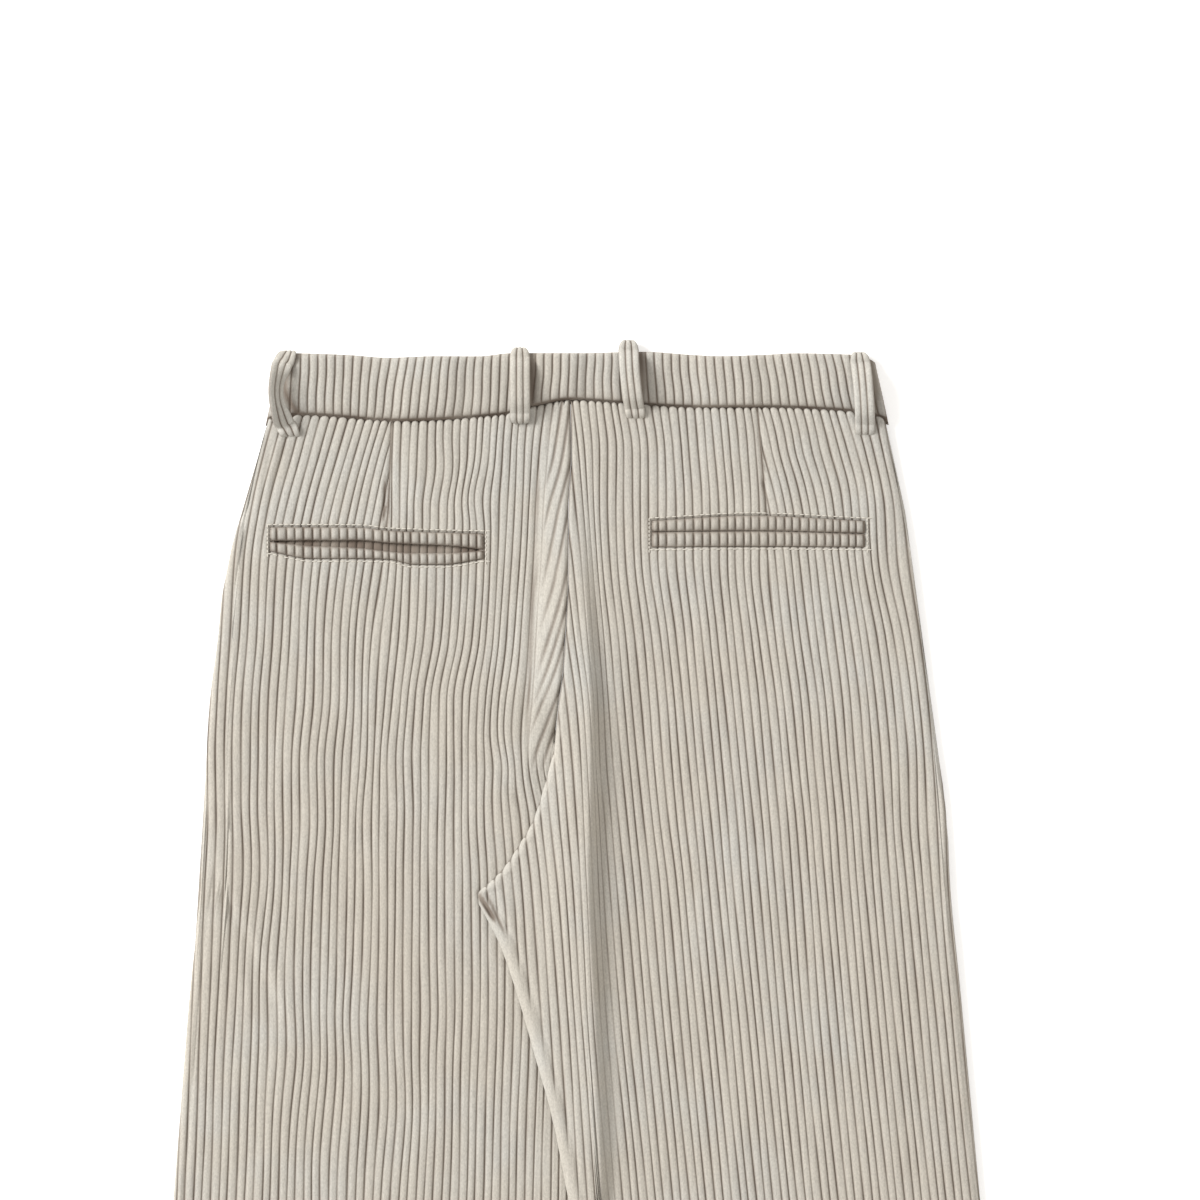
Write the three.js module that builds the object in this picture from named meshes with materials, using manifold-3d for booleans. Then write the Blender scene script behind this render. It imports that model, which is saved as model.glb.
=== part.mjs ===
// Corduroy trousers laid flat with the seat side up.
//
// The two legs lie on the table one beside the other. Each is a front panel, flat on the table, under a
// back panel, and the fork of the right leg lies over the inside of the left leg. All lengths are in
// millimetres. +X runs to the right as seen from above, +Y from the hems to the waist and +Z up.
// Places on the cloth are given by "across", to the right of the centre back, and "down", from the top
// edge of the waistband towards the hems.

import * as THREE from 'three';
import Module from 'manifold-3d';

const wasm = await Module();
wasm.setup();

// Cloth
const WALE_PITCH = 5.6;
const WALE_RISE = 0.9;
const EDGE_RIB = 0.3;
const CLOTH = 1.6;
const FRONT_CLOTH = 1.8;
const GAP = 0.3;
const WAIST_GAP = 0.45;
const PLAIN_INSET = 0.8;
const LOFT = 1.6;
const EDGE_ROUND = 6;
const FORK_START = 236;
const FORK_END = 262;
const EDGE_CLOTH = 1.0;
const SEAM_DITCH = 0.5;
const SEAM_DITCH_WIDTH = 2.5;
const HEM_DOWN = 1125;
const HEM_PRESS = 14;

// Waistband and belt loops
const BAND_FRONT_CLOTH = 2.6;
const BAND_BACK_CLOTH = 2.2;
const BAND_RISE = 0.7;
const BAND_LOFT = 0.9;
const LOOP_WIDTH = 13;
const LOOP_CLOTH = 1.3;
const LOOP_RISE = 0.6;
const TILT_CLEAR = 0.4;

// Back pockets
const LIP_CLOTH = 1.0;
const LIP_RISE = 0.6;
const POCKET_PUFF = 0.8;
const PUFF_SPREAD = 25;
const PUFF_START = 5;
const PUFF_FALL = 8;
const PUFF_END = 40;
const FACING_CLOTH = 1.0;
const FACING_RISE = 0.6;
const FACING_TUCK = 4;
const SLIT_TUCK = 0.8;
const SLIT_INSET = 3;
const SLIT_STEPS = 10;
const STRIP_STEPS = 8;

// Front closing
const FLY_CLOTH = 1.0;
const FLY_CLEAR = 0.45;
const FLY_COLUMNS = 10;
const FLY_ROWS = 6;
const BUTTON_RADIUS = 8.5;
const BUTTON_THICK = 2.8;
const BUTTON_ACROSS = -20;
const BUTTON_DOWN = 19;
const BUTTON_SIDES = 18;

// A table is a line of column heads and one row for each level, section or fold.
function table(heads, rows) {
  const names = heads.split(' ');
  return rows.map((row) => Object.fromEntries(names.map((name, i) => [name, row[i]])));
}

// The outline, from the centre back seam to the sides
const SEAT_SEAM = table('down across', [
  [32, -5], [69, -4.5], [107, -6.5], [151, -6.5], [191, -8.5], [213, -10], [240, -13.5], [261, -15.5],
]);

const FORK_AND_INSEAM = table('down across', [
  [285, -21.5], [312, -30], [326, -38], [348, -53], [360, -66.5], [361, -67.5], [396, -51.5],
  [428, -40.5], [473, -27.5], [509, -17.5], [564, -6.5], [690, 18.5], [1125, 68],
]);

// The left leg's inner edge, which the right leg hides
const HIDDEN_INSEAM = table('down across', [
  [272, -10], [285, -3], [300, 2], [319, 4], [352, 4], [432, 7], [500, 8], [552, 7], [600, -4],
  [690, -22], [1125, -55.5],
]);

const LEFT_SIDE = table('down across', [
  [44, -207.5], [65, -212.5], [82, -216.5], [102, -220.5], [119, -228], [139, -232.5], [165, -237.5],
  [192, -240], [225, -244.5], [262, -247.5], [299, -248], [332, -248.5], [359, -251.5], [389, -254.5],
  [432, -259], [475, -262.5], [515, -265.5], [565, -269.5], [690, -276], [1125, -285.5],
]);

const RIGHT_SIDE = table('down across', [
  [44, 206.5], [59, 208], [75, 212], [99, 216.5], [119, 220.5], [139, 223.5], [165, 226.5], [192, 230],
  [229, 234.5], [259, 238.5], [299, 244.5], [339, 247.5], [359, 248.5], [399, 252.5], [439, 256],
  [479, 259.5], [519, 263.5], [565, 268], [690, 275.5], [1125, 298],
]);

const WAIST_TOP = table('across down', [
  [-199, 4], [-190, 1], [-155.5, 2], [-125.5, 4], [-95.5, 3], [-65.5, 3], [-45.5, 1], [-5.5, 1],
  [44.5, 0], [74.5, 2], [94.5, 3], [124.5, 2], [144.5, 1], [184.5, 2], [194.5, 5], [199, 8],
]);

const WAIST_SEAM = table('across down', [
  [-207.5, 44], [-185.5, 41], [-118.5, 45], [-52, 41], [-28.5, 35], [-5.5, 31], [28, 33], [81.5, 36],
  [121.5, 36], [188, 39], [206.5, 44],
]);

const BAND_ENDS = { topLeft: -198, bottomLeft: -207, topRight: 198, bottomRight: 206 };

// Grain: where the grooves of a few numbered wales run, level by level. The wales of each back panel
// are counted from its own guide, and the wale at the dart has one place on each side of the dart.
const LEFT_GRAIN = table('down w4 w8 w16 dartLeft dartRight w24 w32 w38 w42 w45', [
  [32, -204.5, -180.5, -132, -106.5, -128, -110.5, -66.5, -37.5, -16.5, -5.2],
  [65, -214.5, -190, -141.5, -116.5, -128.5, -112, -68.5, -40.5, -20, -4.7],
  [105, -223.5, -200.5, -152, -124, -128.5, -112.5, -72, -42.5, -23.5, -6.7],
  [139, -228.5, -205.5, -158.5, -130, -130, -116, -72.5, -44, -24.5, -6.7],
  [192, -231.5, -208.5, -164, -137.5, -137.5, -119.5, -76, -47.5, -27.5, -8.7],
  [232, -234, -211.5, -166, -140.5, -140.5, -124, -82, -50.5, -29.5, -12.5],
  [272, -235.5, -212.5, -169.5, -141.5, -141.5, -127.5, -82, -53.5, -32.5, -17.5],
  [312, -235.5, -214, -168.5, -143.5, -143.5, -126, -82.5, -50, -26.5, -10.5],
  [352, -236.5, -214, -170.5, -142.5, -142.5, -126, -82, -48, -24.5, -8],
  [432, -239.5, -216.5, -171.5, -143.5, -143.5, -126.5, -82.5, -48.5, -26, -9.5],
  [552, -244, -221.5, -176.5, -147.5, -147.5, -130, -84.5, -51.5, -29.5, -12.5],
  [690, -250.5, -228.5, -183.5, -154.5, -154.5, -138, -92.5, -58.5, -36, -19.5],
  [1125, -280, -257.5, -212.5, -184, -184, -167.5, -122.5, -88.5, -66, -49.5],
]);

const RIGHT_GRAIN = table('down back16 back9 back5 back2 w0 w6 w12 dartLeft dartRight w24 w30 w36 w39', [
  [32, -84.5, -44, -21.5, -4, 6.5, 36.5, 71.5, 119.5, 103.5, 120.5, 153.5, 188, 209],
  [65, -81.5, -40.5, -18, 0, 9.5, 41.5, 74.5, 124.5, 112.5, 129.5, 162, 196.5, 213.5],
  [105, -76.5, -36, -13.5, 3.5, 10.5, 42.5, 77.5, 126, 122, 138, 170.5, 204.5, 222.5],
  [139, -72, -31.5, -8.5, 6.5, 12.5, 43.5, 78, 126, 126, 142, 174.5, 206.5, 227.5],
  [192, -65.5, -24.5, -2, 10.5, 17.5, 49.5, 82.5, 132, 132, 148.5, 182.5, 216.5, 234],
  [232, -60, -19.5, 3.5, 13.5, 20.5, 53.5, 86.5, 137.5, 137.5, 154, 187.5, 222, 238.5],
  [272, -56.5, -16, 6.5, 14.5, 23.5, 56.5, 90.5, 141.5, 141.5, 157.5, 190.5, 225.5, 241.5],
  [312, -53.5, -12.5, 8.5, 17.5, 27.5, 60.5, 94.5, 145.5, 145.5, 161.5, 193.5, 226.5, 245],
  [352, -49.5, -8.5, 10, 20.5, 31.5, 65.5, 98, 148.5, 148.5, 164.5, 196.5, 230, 246.5],
  [432, -43.5, -2.5, 14, 27.5, 38.5, 72.5, 106, 154.5, 154.5, 171.5, 204, 237.5, 254],
  [552, -34, 5.5, 24, 39.5, 50.5, 84.5, 118, 166.5, 166.5, 183.5, 216.5, 249.5, 265.5],
  [690, -24.5, 15, 37.5, 54, 65.5, 98.5, 132, 182.5, 182.5, 199.5, 232.5, 266.5, 283.5],
  [1125, 18, 57.5, 79.5, 96.5, 108, 141.5, 174.5, 225.5, 225.5, 242, 275.5, 309.5, 326],
]);

// Wales that reach the left leg's inner edge run on along it, this close together.
const LEFT_LAST_WALE = 51;
const EDGE_STEP = 0.12;
const DART_WALE = 21;
const DART_END = 139;
const DART_TUCK = 0.3;
const DART_FADE = 27;
const LEFT_DART = table('down across', [[42, -124], [80, -125.3], [112, -126.8], [139, -130]]);
const RIGHT_DART = table('down across', [[36, 119.3], [72, 122.5], [109, 125.3], [139, 126]]);

// The ridge along the seat seam and down the inside of the right leg. "drop" is where it falls away
// to the right, "rest" is how high the right leg lies on the left one, "under" is the height of the
// underside at the ridge and "puff" is how far front and back stand apart there beyond the loft.
const RIGHT_RIDGE = table('down drop rest under puff', [
  [40, 2, 0, 0, 0], [65, 3, 0, 0, 0.8], [105, 5, 0.3, 0.5, 1.8], [139, 6.7, 1.6, 2.5, 2],
  [192, 10.7, 3.8, 5.5, 2], [232, 12.5, 5.6, 8.4, 2], [261, 13, 6.7, 9.6, 2], [312, 12.3, 6.7, 10, 2],
  [352, 11.5, 6.7, 10, 2], [432, 14.5, 6.7, 8.4, 1.6], [552, 18.7, 6.7, 7, 0.8], [600, 7.5, 6.7, 6.8, 0.2],
  [690, -13, 6.7, 6.7, 0], [1125, -49, 6.7, 6.7, 0],
]);
const RIDGE_HALF_DROP = 5.5;
const RIDGE_WIDTH = 28;
const RIDGE_TAIL = 1.3;
const RIDGE_TAIL_WIDTH = 16;

const LEFT_RIDGE = table('down under puff', [
  [40, 0, 0], [65, 0, 0.8], [105, 0.4, 1.6], [139, 1.8, 2], [192, 3.9, 2], [215, 4.2, 2], [232, 3, 1.4],
  [250, 0.8, 0.5], [261, 0, 0.2], [285, 0, 0], [1125, 0, 0],
]);
const LEFT_RIDGE_WIDTH = 26;

// The largest folds of the back panels, each a soft trough or ridge from one place to another
const FOLDS = table('fromAcross fromDown toAcross toDown width height', [
  [-247, 336, -190, 473, 6, -0.9],
  [-243, 322, -180, 462, 9, 0.8],
  [-79, 250, -32, 302, 6, -0.8],
  [40, 180, 58, 430, 14, -0.7],
  [96, 230, 140, 520, 20, 0.5],
  [200, 150, 236, 330, 12, -0.5],
  [-170, 190, -150, 320, 16, -0.5],
]);

// Levels of the rows that the cloth is divided into, a seam's rounding below the waist seam first
const SEAM_ROUND = 4;
const ROW_LEVELS = [65, 105, 139, 170, 200, 232, 261, 285, 312, 352, 420, 490, 564, 594, 625, 760, 1125];

// Two of the lip's edges follow the pocket's mouth, which gapes on the left and is closed on the right.
const LEFT_POCKET = table('across top mouthTop mouthBottom bottom', [
  [-205, 117, 126, 126.7, 132.7], [-177, 117, 125.6, 129.3, 137.7], [-145, 117.3, 125.6, 130.7, 137.7],
  [-126, 119.3, 127.3, 133, 138.2], [-109, 120, 128.2, 134, 141.5], [-90, 120.6, 128.8, 134, 141.5],
  [-63, 121.3, 131.8, 132.5, 137.7],
]);
const RIGHT_POCKET = table('across top mouthTop mouthBottom bottom', [
  [49, 112.7, 119.8, 120.2, 130], [115, 109.3, 119.2, 119.6, 129.5], [191, 112.7, 121, 121.4, 130],
]);
const POCKET_GRAIN_DOWN = 140;

// Belt loops that show: ends and middle on the cloth, height off it and tilt to the side
const BACK_LOOPS = table('name topAcross topDown midAcross footAcross footDown standOff tilt', [
  ['loop_side_left', -192, 1, -201, -190.5, 54, 7, -0.42],
  ['loop_centre_left', -38.7, -1, -38.5, -38.5, 46, 5.8, 0],
  ['loop_centre_right', 33.5, -6, 35, 38.5, 43, 7.5, 0.12],
  ['loop_side_right', 187, 2, 190, 191, 54, 6.5, 0.2],
]);
const FRONT_LOOPS = table('name across', [['loop_front_left', -100], ['loop_front_right', 100]]);

// A smooth curve through two columns of a table, which never overshoots its points. Past its ends it
// holds its last value, or runs straight on where "runsOn" is true.
function curve(rows, from, to, runsOn = false) {
  const x = rows.map((row) => row[from]);
  const y = rows.map((row) => row[to]);
  const last = x.length - 1;
  const chord = x.slice(0, last).map((value, i) => (y[i + 1] - y[i]) / (x[i + 1] - value));
  const slope = x.map((value, i) => {
    if (i === 0 || i === last) return chord[Math.min(i, last - 1)];
    const product = chord[i - 1] * chord[i];
    return product > 0 ? (2 * product) / (chord[i - 1] + chord[i]) : 0;
  });
  return (at) => {
    if (at <= x[0]) return y[0] + (runsOn ? slope[0] * (at - x[0]) : 0);
    if (at >= x[last]) return y[last] + (runsOn ? slope[last] * (at - x[last]) : 0);
    let i = 0;
    while (at > x[i + 1]) i += 1;
    const span = x[i + 1] - x[i];
    const t = (at - x[i]) / span;
    const rise = t * t * (3 - 2 * t);
    const start = t * (1 - t) * (1 - t) * slope[i];
    const end = t * t * (1 - t) * slope[i + 1];
    return y[i] + (y[i + 1] - y[i]) * rise + span * (start - end);
  };
}

function smooth(from, to, at) {
  const t = Math.min(1, Math.max(0, (at - from) / (to - from)));
  return t * t * (3 - 2 * t);
}

const bell = (offset, width) => Math.exp(-((offset / width) ** 2));

const waistTop = curve(WAIST_TOP, 'across', 'down');
const waistSeam = curve(WAIST_SEAM, 'across', 'down');
const seatSeam = curve(SEAT_SEAM, 'down', 'across');
const inseam = curve([...SEAT_SEAM, ...FORK_AND_INSEAM], 'down', 'across');
const hiddenInseam = curve([...SEAT_SEAM, ...HIDDEN_INSEAM], 'down', 'across');
const leftSide = curve(LEFT_SIDE, 'down', 'across');
const rightSide = curve(RIGHT_SIDE, 'down', 'across');

// The place of one wale at one level. A dart swallows the wales that run into it.
function grain(rows, guides, dartRows) {
  const lines = guides.map(([name, wale]) => ({ name, wale, across: curve(rows, 'down', name, true) }));
  const split = lines.findIndex((line) => line.name === 'dartRight');
  const families = [lines.slice(0, split), lines.slice(split)];
  const dart = curve(dartRows, 'down', 'across');
  return (wale, down) => {
    const beforeDart = wale <= DART_WALE;
    const family = families[beforeDart ? 0 : 1];
    const places = family.map((line) => ({ wale: line.wale, across: line.across(down) }));
    const free = curve(places, 'wale', 'across', true)(wale);
    if (down >= DART_END) return free;
    const tucked = dart(down) + DART_TUCK * (wale - DART_WALE);
    return beforeDart ? Math.min(free, tucked) : Math.max(free, tucked);
  };
}

const leftGrain = grain(LEFT_GRAIN, [
  ['w4', 4], ['w8', 8], ['w16', 16], ['dartLeft', DART_WALE], ['dartRight', DART_WALE], ['w24', 24],
  ['w32', 32], ['w38', 38], ['w42', 42], ['w45', 45],
], LEFT_DART);

const rightGrain = grain(RIGHT_GRAIN, [
  ['back16', -16], ['back9', -9], ['back5', -5], ['back2', -2], ['w0', 0], ['w6', 6], ['w12', 12],
  ['dartLeft', DART_WALE], ['dartRight', DART_WALE], ['w24', 24], ['w30', 30], ['w36', 36], ['w39', 39],
], RIGHT_DART);

// Heights of the seat ridge
const ridge = Object.fromEntries(
  ['drop', 'rest', 'under', 'puff'].map((name) => [name, curve(RIGHT_RIDGE, 'down', name)]),
);
const leftUnder = curve(LEFT_RIDGE, 'down', 'under');
const leftPuff = curve(LEFT_RIDGE, 'down', 'puff');

function rightLift(across, down) {
  const edge = ridge.drop(down) - RIDGE_HALF_DROP;
  const crown = across < edge ? bell(edge - across, RIDGE_WIDTH) : 1;
  const full = 1 - smooth(edge, edge + 2 * RIDGE_HALF_DROP, across);
  return full * (ridge.rest(down) + (ridge.under(down) - ridge.rest(down)) * crown);
}

function rightPuff(across, down) {
  const edge = ridge.drop(down) - RIDGE_HALF_DROP;
  const crown = across < edge ? bell(edge - across, RIDGE_WIDTH) : 1;
  const full = 1 - smooth(edge, edge + 2 * RIDGE_HALF_DROP, across);
  const tail = RIDGE_TAIL * smooth(edge, edge + 2 * RIDGE_HALF_DROP, across);
  const fade = bell(Math.max(0, across - ridge.drop(down) - RIDGE_HALF_DROP), RIDGE_TAIL_WIDTH);
  return ridge.puff(down) * full * crown + Math.min(1, ridge.puff(down)) * tail * fade;
}

const leftShare = (across, down) => bell(Math.max(0, seatSeam(down) - across), LEFT_RIDGE_WIDTH);

function pocketPuff(across, down) {
  const puff = (rows) => {
    const near = smooth(rows[0].across - PUFF_SPREAD, rows[0].across, across);
    const far = 1 - smooth(rows.at(-1).across, rows.at(-1).across + PUFF_SPREAD, across);
    const high = smooth(rows[0].top - PUFF_SPREAD, rows[0].top - PUFF_START, down);
    const low = 1 - smooth(rows[0].bottom + PUFF_FALL, rows[0].bottom + PUFF_END, down);
    return near * far * high * low;
  };
  return POCKET_PUFF * Math.max(puff(LEFT_POCKET), puff(RIGHT_POCKET));
}

function foldHeight(across, down) {
  let height = 0;
  for (const fold of FOLDS) {
    const along = new THREE.Vector2(fold.toAcross - fold.fromAcross, fold.toDown - fold.fromDown);
    const from = new THREE.Vector2(across - fold.fromAcross, down - fold.fromDown);
    const share = from.dot(along) / along.lengthSq();
    const aside = from.cross(along) / along.length();
    const ends = smooth(-0.15, 0.25, share) * (1 - smooth(0.75, 1.15, share));
    height += fold.height * ends * bell(aside, fold.width);
  }
  return height;
}

// The columns of the plain sides of the cloth, close together where the ridge falls away
const mix = (from, to, share) => from + (to - from) * share;

function leftPlainAcross(down) {
  const first = leftSide(down) + PLAIN_INSET;
  const last = hiddenInseam(down) - PLAIN_INSET;
  const wide = [0, 0.012, 0.035, 0.12, 0.25, 0.4, 0.55, 0.7].map((share) => mix(first, last, share));
  return [...wide, last - 45, last - 30, last - 18, last - 9, last - 3, last];
}

function rightPlainAcross(down) {
  const first = inseam(down) + PLAIN_INSET;
  const last = rightSide(down) - PLAIN_INSET;
  const edge = Math.max(ridge.drop(down) - RIDGE_HALF_DROP, first + 9);
  const fork = [0, 0.1, 0.35, 0.6, 0.8, 1].map((share) => mix(first, edge, share));
  const drop = [3, 5.5, 8, 11, 16, 28].map((offset) => edge + offset);
  const wide = [0.3, 0.55, 0.8, 0.95, 0.985, 1].map((share) => mix(edge + 28, last, share));
  return [...fork, ...drop, ...wide];
}

const LEFT = {
  grain: (wale, down) => {
    const edge = hiddenInseam(down) - GAP / 2;
    return Math.min(leftGrain(wale, down), edge - EDGE_STEP * (LEFT_LAST_WALE - wale));
  },
  firstEdge: leftSide,
  lastEdge: (down) => hiddenInseam(down) - GAP / 2,
  plainAcross: leftPlainAcross,
  firstWale: -1,
  lastWale: LEFT_LAST_WALE,
  outerEdge: (across, down) => across - leftSide(down),
  innerEdge: (across, down) => hiddenInseam(down) - across,
  dart: curve(LEFT_DART, 'down', 'across'),
  lift: (across, down) => leftUnder(down) * leftShare(across, down),
  puff: (across, down) => leftPuff(down) * leftShare(across, down),
};

const RIGHT = {
  grain: rightGrain,
  firstEdge: (down) => inseam(down) + GAP / 2,
  lastEdge: rightSide,
  plainAcross: rightPlainAcross,
  firstWale: -19,
  lastWale: 40,
  outerEdge: (across, down) => rightSide(down) - across,
  innerEdge: (across, down) => across - inseam(down),
  dart: curve(RIGHT_DART, 'down', 'across'),
  lift: rightLift,
  puff: rightPuff,
};

// A quarter round from an edge of the leg up to its flat part
function rounded(offset) {
  const t = Math.min(1, Math.max(0, offset / EDGE_ROUND));
  return Math.sqrt(1 - (1 - t) ** 2);
}

// Heights of the layers of one leg at a place: the table side of the front panel, its upper side, the
// inside of the back panel and the grooves of its face
function layers(leg, across, down) {
  const under = leg.lift(across, down);
  const frontTop = under + FRONT_CLOTH;
  const forkShare = smooth(FORK_START, FORK_END, down);
  const innerRound = 1 - forkShare + forkShare * rounded(leg.innerEdge(across, down));
  const hemRound = rounded((HEM_DOWN - down) * (EDGE_ROUND / HEM_PRESS));
  const round = Math.min(rounded(leg.outerEdge(across, down)), innerRound, hemRound);
  const soft = LOFT + leg.puff(across, down) + pocketPuff(across, down) + foldHeight(across, down);
  const inner = frontTop + GAP + Math.max(0, soft) * round;
  const seamDitch = (1 - forkShare) * bell(leg.innerEdge(across, down), SEAM_DITCH_WIDTH);
  const dartDitch = down < DART_END ? bell(across - leg.dart(down), SEAM_DITCH_WIDTH) : 0;
  const dartFade = 1 - smooth(DART_END - DART_FADE, DART_END, down);
  const ditch = SEAM_DITCH * Math.max(seamDitch, dartDitch * dartFade);
  const face = inner + EDGE_CLOTH + (CLOTH - EDGE_CLOTH) * round - ditch;
  return { under, frontTop, inner, face, round };
}

// The stretch of a wale that lies inside its panel, from its upper to its lower end
function waleEnds(leg, wale) {
  const inside = (down) => {
    const across = leg.grain(wale, down);
    const between = across >= leg.firstEdge(down) && across <= leg.lastEdge(down);
    return between && down >= waistSeam(across) + WAIST_GAP && down <= HEM_DOWN;
  };
  const step = 1.5;
  const halvings = 20;
  let best = null;
  let start = null;
  for (let down = 30; down <= HEM_DOWN + step; down += step) {
    const within = inside(down);
    if (within && start === null) start = down;
    if (!within && start !== null) {
      if (!best || down - start > best.bottom - best.top) best = { top: start, bottom: down - step };
      start = null;
    }
  }
  if (!best) return null;
  const refine = (within, beyond) => {
    let good = within;
    let bad = beyond;
    for (let i = 0; i < halvings; i += 1) {
      const middle = (good + bad) / 2;
      if (inside(middle)) good = middle;
      else bad = middle;
    }
    return good;
  };
  return { top: refine(best.top, best.top - step), bottom: refine(best.bottom, best.bottom + step) };
}

const FIRST_LEVEL = 40;
const rowShare = (level) => (level - FIRST_LEVEL) / (HEM_DOWN - FIRST_LEVEL);
const ROW_SHARES = [0, rowShare(FIRST_LEVEL + SEAM_ROUND), ...ROW_LEVELS.map(rowShare)];
const SHORTEST_COLUMN = 4;

// A column of places along one wale, the same number of rows in each
function columnPlaces(leg, wale) {
  const ends = waleEnds(leg, wale);
  if (!ends || ends.bottom - ends.top < SHORTEST_COLUMN) return null;
  return ROW_SHARES.map((share) => {
    const down = ends.top + (ends.bottom - ends.top) * share;
    return { wale, across: leg.grain(wale, down), down };
  });
}

function halfWaleColumns(leg) {
  const columns = [];
  for (let wale = leg.firstWale; wale <= leg.lastWale; wale += 0.5) {
    const places = columnPlaces(leg, wale);
    if (places) columns.push(places);
  }
  return columns;
}

function plainColumns(leg) {
  const count = leg.plainAcross(FIRST_LEVEL).length;
  return Array.from({ length: count }, (_, c) => {
    const top = waistSeam(leg.plainAcross(FIRST_LEVEL)[c]) + WAIST_GAP + PLAIN_INSET;
    const downs = [top, top + SEAM_ROUND, ...ROW_LEVELS.slice(0, -1), HEM_DOWN - PLAIN_INSET];
    return downs.map((down) => ({ across: leg.plainAcross(down)[c], down }));
  });
}

// The height that a rib adds: none in a groove, all on a crest, less where a dart swallows the rib
function ribHeight(leg, place) {
  const crest = Math.abs(place.wale - Math.round(place.wale));
  const pitch = leg.grain(place.wale + 0.5, place.down) - leg.grain(place.wale - 0.5, place.down);
  return WALE_RISE * 2 * crest * Math.min(1, pitch / (WALE_PITCH / 2));
}

const point = (place, height) => new THREE.Vector3(place.across, -place.down, height);

// One closed body between an upper and a lower grid of points, each a list of columns from left to
// right with rows from the waist down. The two grids need not have the same number of columns.
function slab(upper, lower) {
  const positions = [];
  const index = [];
  const numbered = (grid) => grid.map((column) => column.map((corner) => {
    positions.push(corner.x, corner.y, corner.z);
    return positions.length / 3 - 1;
  }));
  const above = numbered(upper);
  const below = numbered(lower);
  const face = (grid, turned) => {
    for (let c = 0; c + 1 < grid.length; c += 1) {
      for (let r = 0; r + 1 < grid[c].length; r += 1) {
        const [a, b, d, e] = [grid[c][r], grid[c][r + 1], grid[c + 1][r + 1], grid[c + 1][r]];
        if (turned) index.push(a, d, b, a, e, d);
        else index.push(a, b, d, a, d, e);
      }
    }
  };
  face(above, false);
  face(below, true);
  const at = (number) => new THREE.Vector3().fromArray(positions, 3 * number);
  const nearest = (loop, number) => {
    const reach = loop.map((other) => at(other).distanceTo(at(number)));
    return reach.indexOf(Math.min(...reach));
  };
  // The two borders are joined all round, always by the shorter of the two next diagonals.
  const upperLoop = border(above);
  const lowerStart = border(below);
  const turn = nearest(lowerStart, upperLoop[0]);
  const lowerLoop = [...lowerStart.slice(turn), ...lowerStart.slice(0, turn)];
  const upperAt = (i) => upperLoop[i % upperLoop.length];
  const lowerAt = (j) => lowerLoop[j % lowerLoop.length];
  let i = 0;
  let j = 0;
  while (i < upperLoop.length || j < lowerLoop.length) {
    const stepUpper = at(upperAt(i + 1)).distanceTo(at(lowerAt(j)));
    const stepLower = at(upperAt(i)).distanceTo(at(lowerAt(j + 1)));
    if (j >= lowerLoop.length || (i < upperLoop.length && stepUpper <= stepLower)) {
      index.push(upperAt(i), upperAt(i + 1), lowerAt(j));
      i += 1;
    } else {
      index.push(upperAt(i), lowerAt(j + 1), lowerAt(j));
      j += 1;
    }
  }
  return bodyGeometry(positions, index);
}

// The border of a grid, clockwise from its upper left corner
function border(grid) {
  const top = grid.map((column) => column[0]);
  const bottom = grid.map((column) => column.at(-1)).reverse();
  return [...top, ...grid.at(-1).slice(1), ...bottom.slice(1), ...grid[0].slice(1, -1).reverse()];
}

function bodyGeometry(positions, index) {
  const geometry = new THREE.BufferGeometry();
  geometry.setAttribute('position', new THREE.Float32BufferAttribute(positions, 3));
  geometry.setIndex(index);
  geometry.computeVertexNormals();
  return geometry;
}

function toManifold(geometry) {
  const vertProperties = new Float32Array(geometry.attributes.position.array);
  const triVerts = new Uint32Array(geometry.index.array);
  return new wasm.Manifold(new wasm.Mesh({ numProp: 3, vertProperties, triVerts }));
}

function fromManifold(manifold) {
  const mesh = manifold.getMesh();
  return bodyGeometry(Array.from(mesh.vertProperties), Array.from(mesh.triVerts));
}

const cloth = (colour) => new THREE.MeshStandardMaterial({ color: colour, roughness: 0.95, metalness: 0 });
const CORD_COLOUR = 0xcdc6ba;
const EDGE_COLOUR = 0xc2bbae;
const BUTTON_COLOUR = 0x8a8072;

const trousers = new THREE.Group();

function add(name, geometry, material = cloth(CORD_COLOUR)) {
  const mesh = new THREE.Mesh(geometry, material);
  mesh.name = name;
  trousers.add(mesh);
  return mesh;
}

// The ribbed face of a back panel over its plain inside
function backPanel(leg, ribbed, plain) {
  const upper = ribbed.map((column) => column.map((place, row) => {
    const heights = layers(leg, place.across, place.down);
    const rib = row === 0 ? 0 : ribHeight(leg, place) * mix(EDGE_RIB, 1, heights.round);
    return point(place, heights.face + rib);
  }));
  const lower = plain.map((column) => column.map((place) => {
    const heights = layers(leg, place.across, place.down);
    return point(place, heights.inner);
  }));
  return slab(upper, lower);
}

function frontPanel(leg, plain) {
  const upper = plain.map((column) => column.map((place) => {
    const heights = layers(leg, place.across, place.down);
    return point(place, heights.frontTop);
  }));
  const lower = plain.map((column) => column.map((place) => {
    const heights = layers(leg, place.across, place.down);
    return point(place, heights.under);
  }));
  return slab(upper, lower);
}

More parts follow.
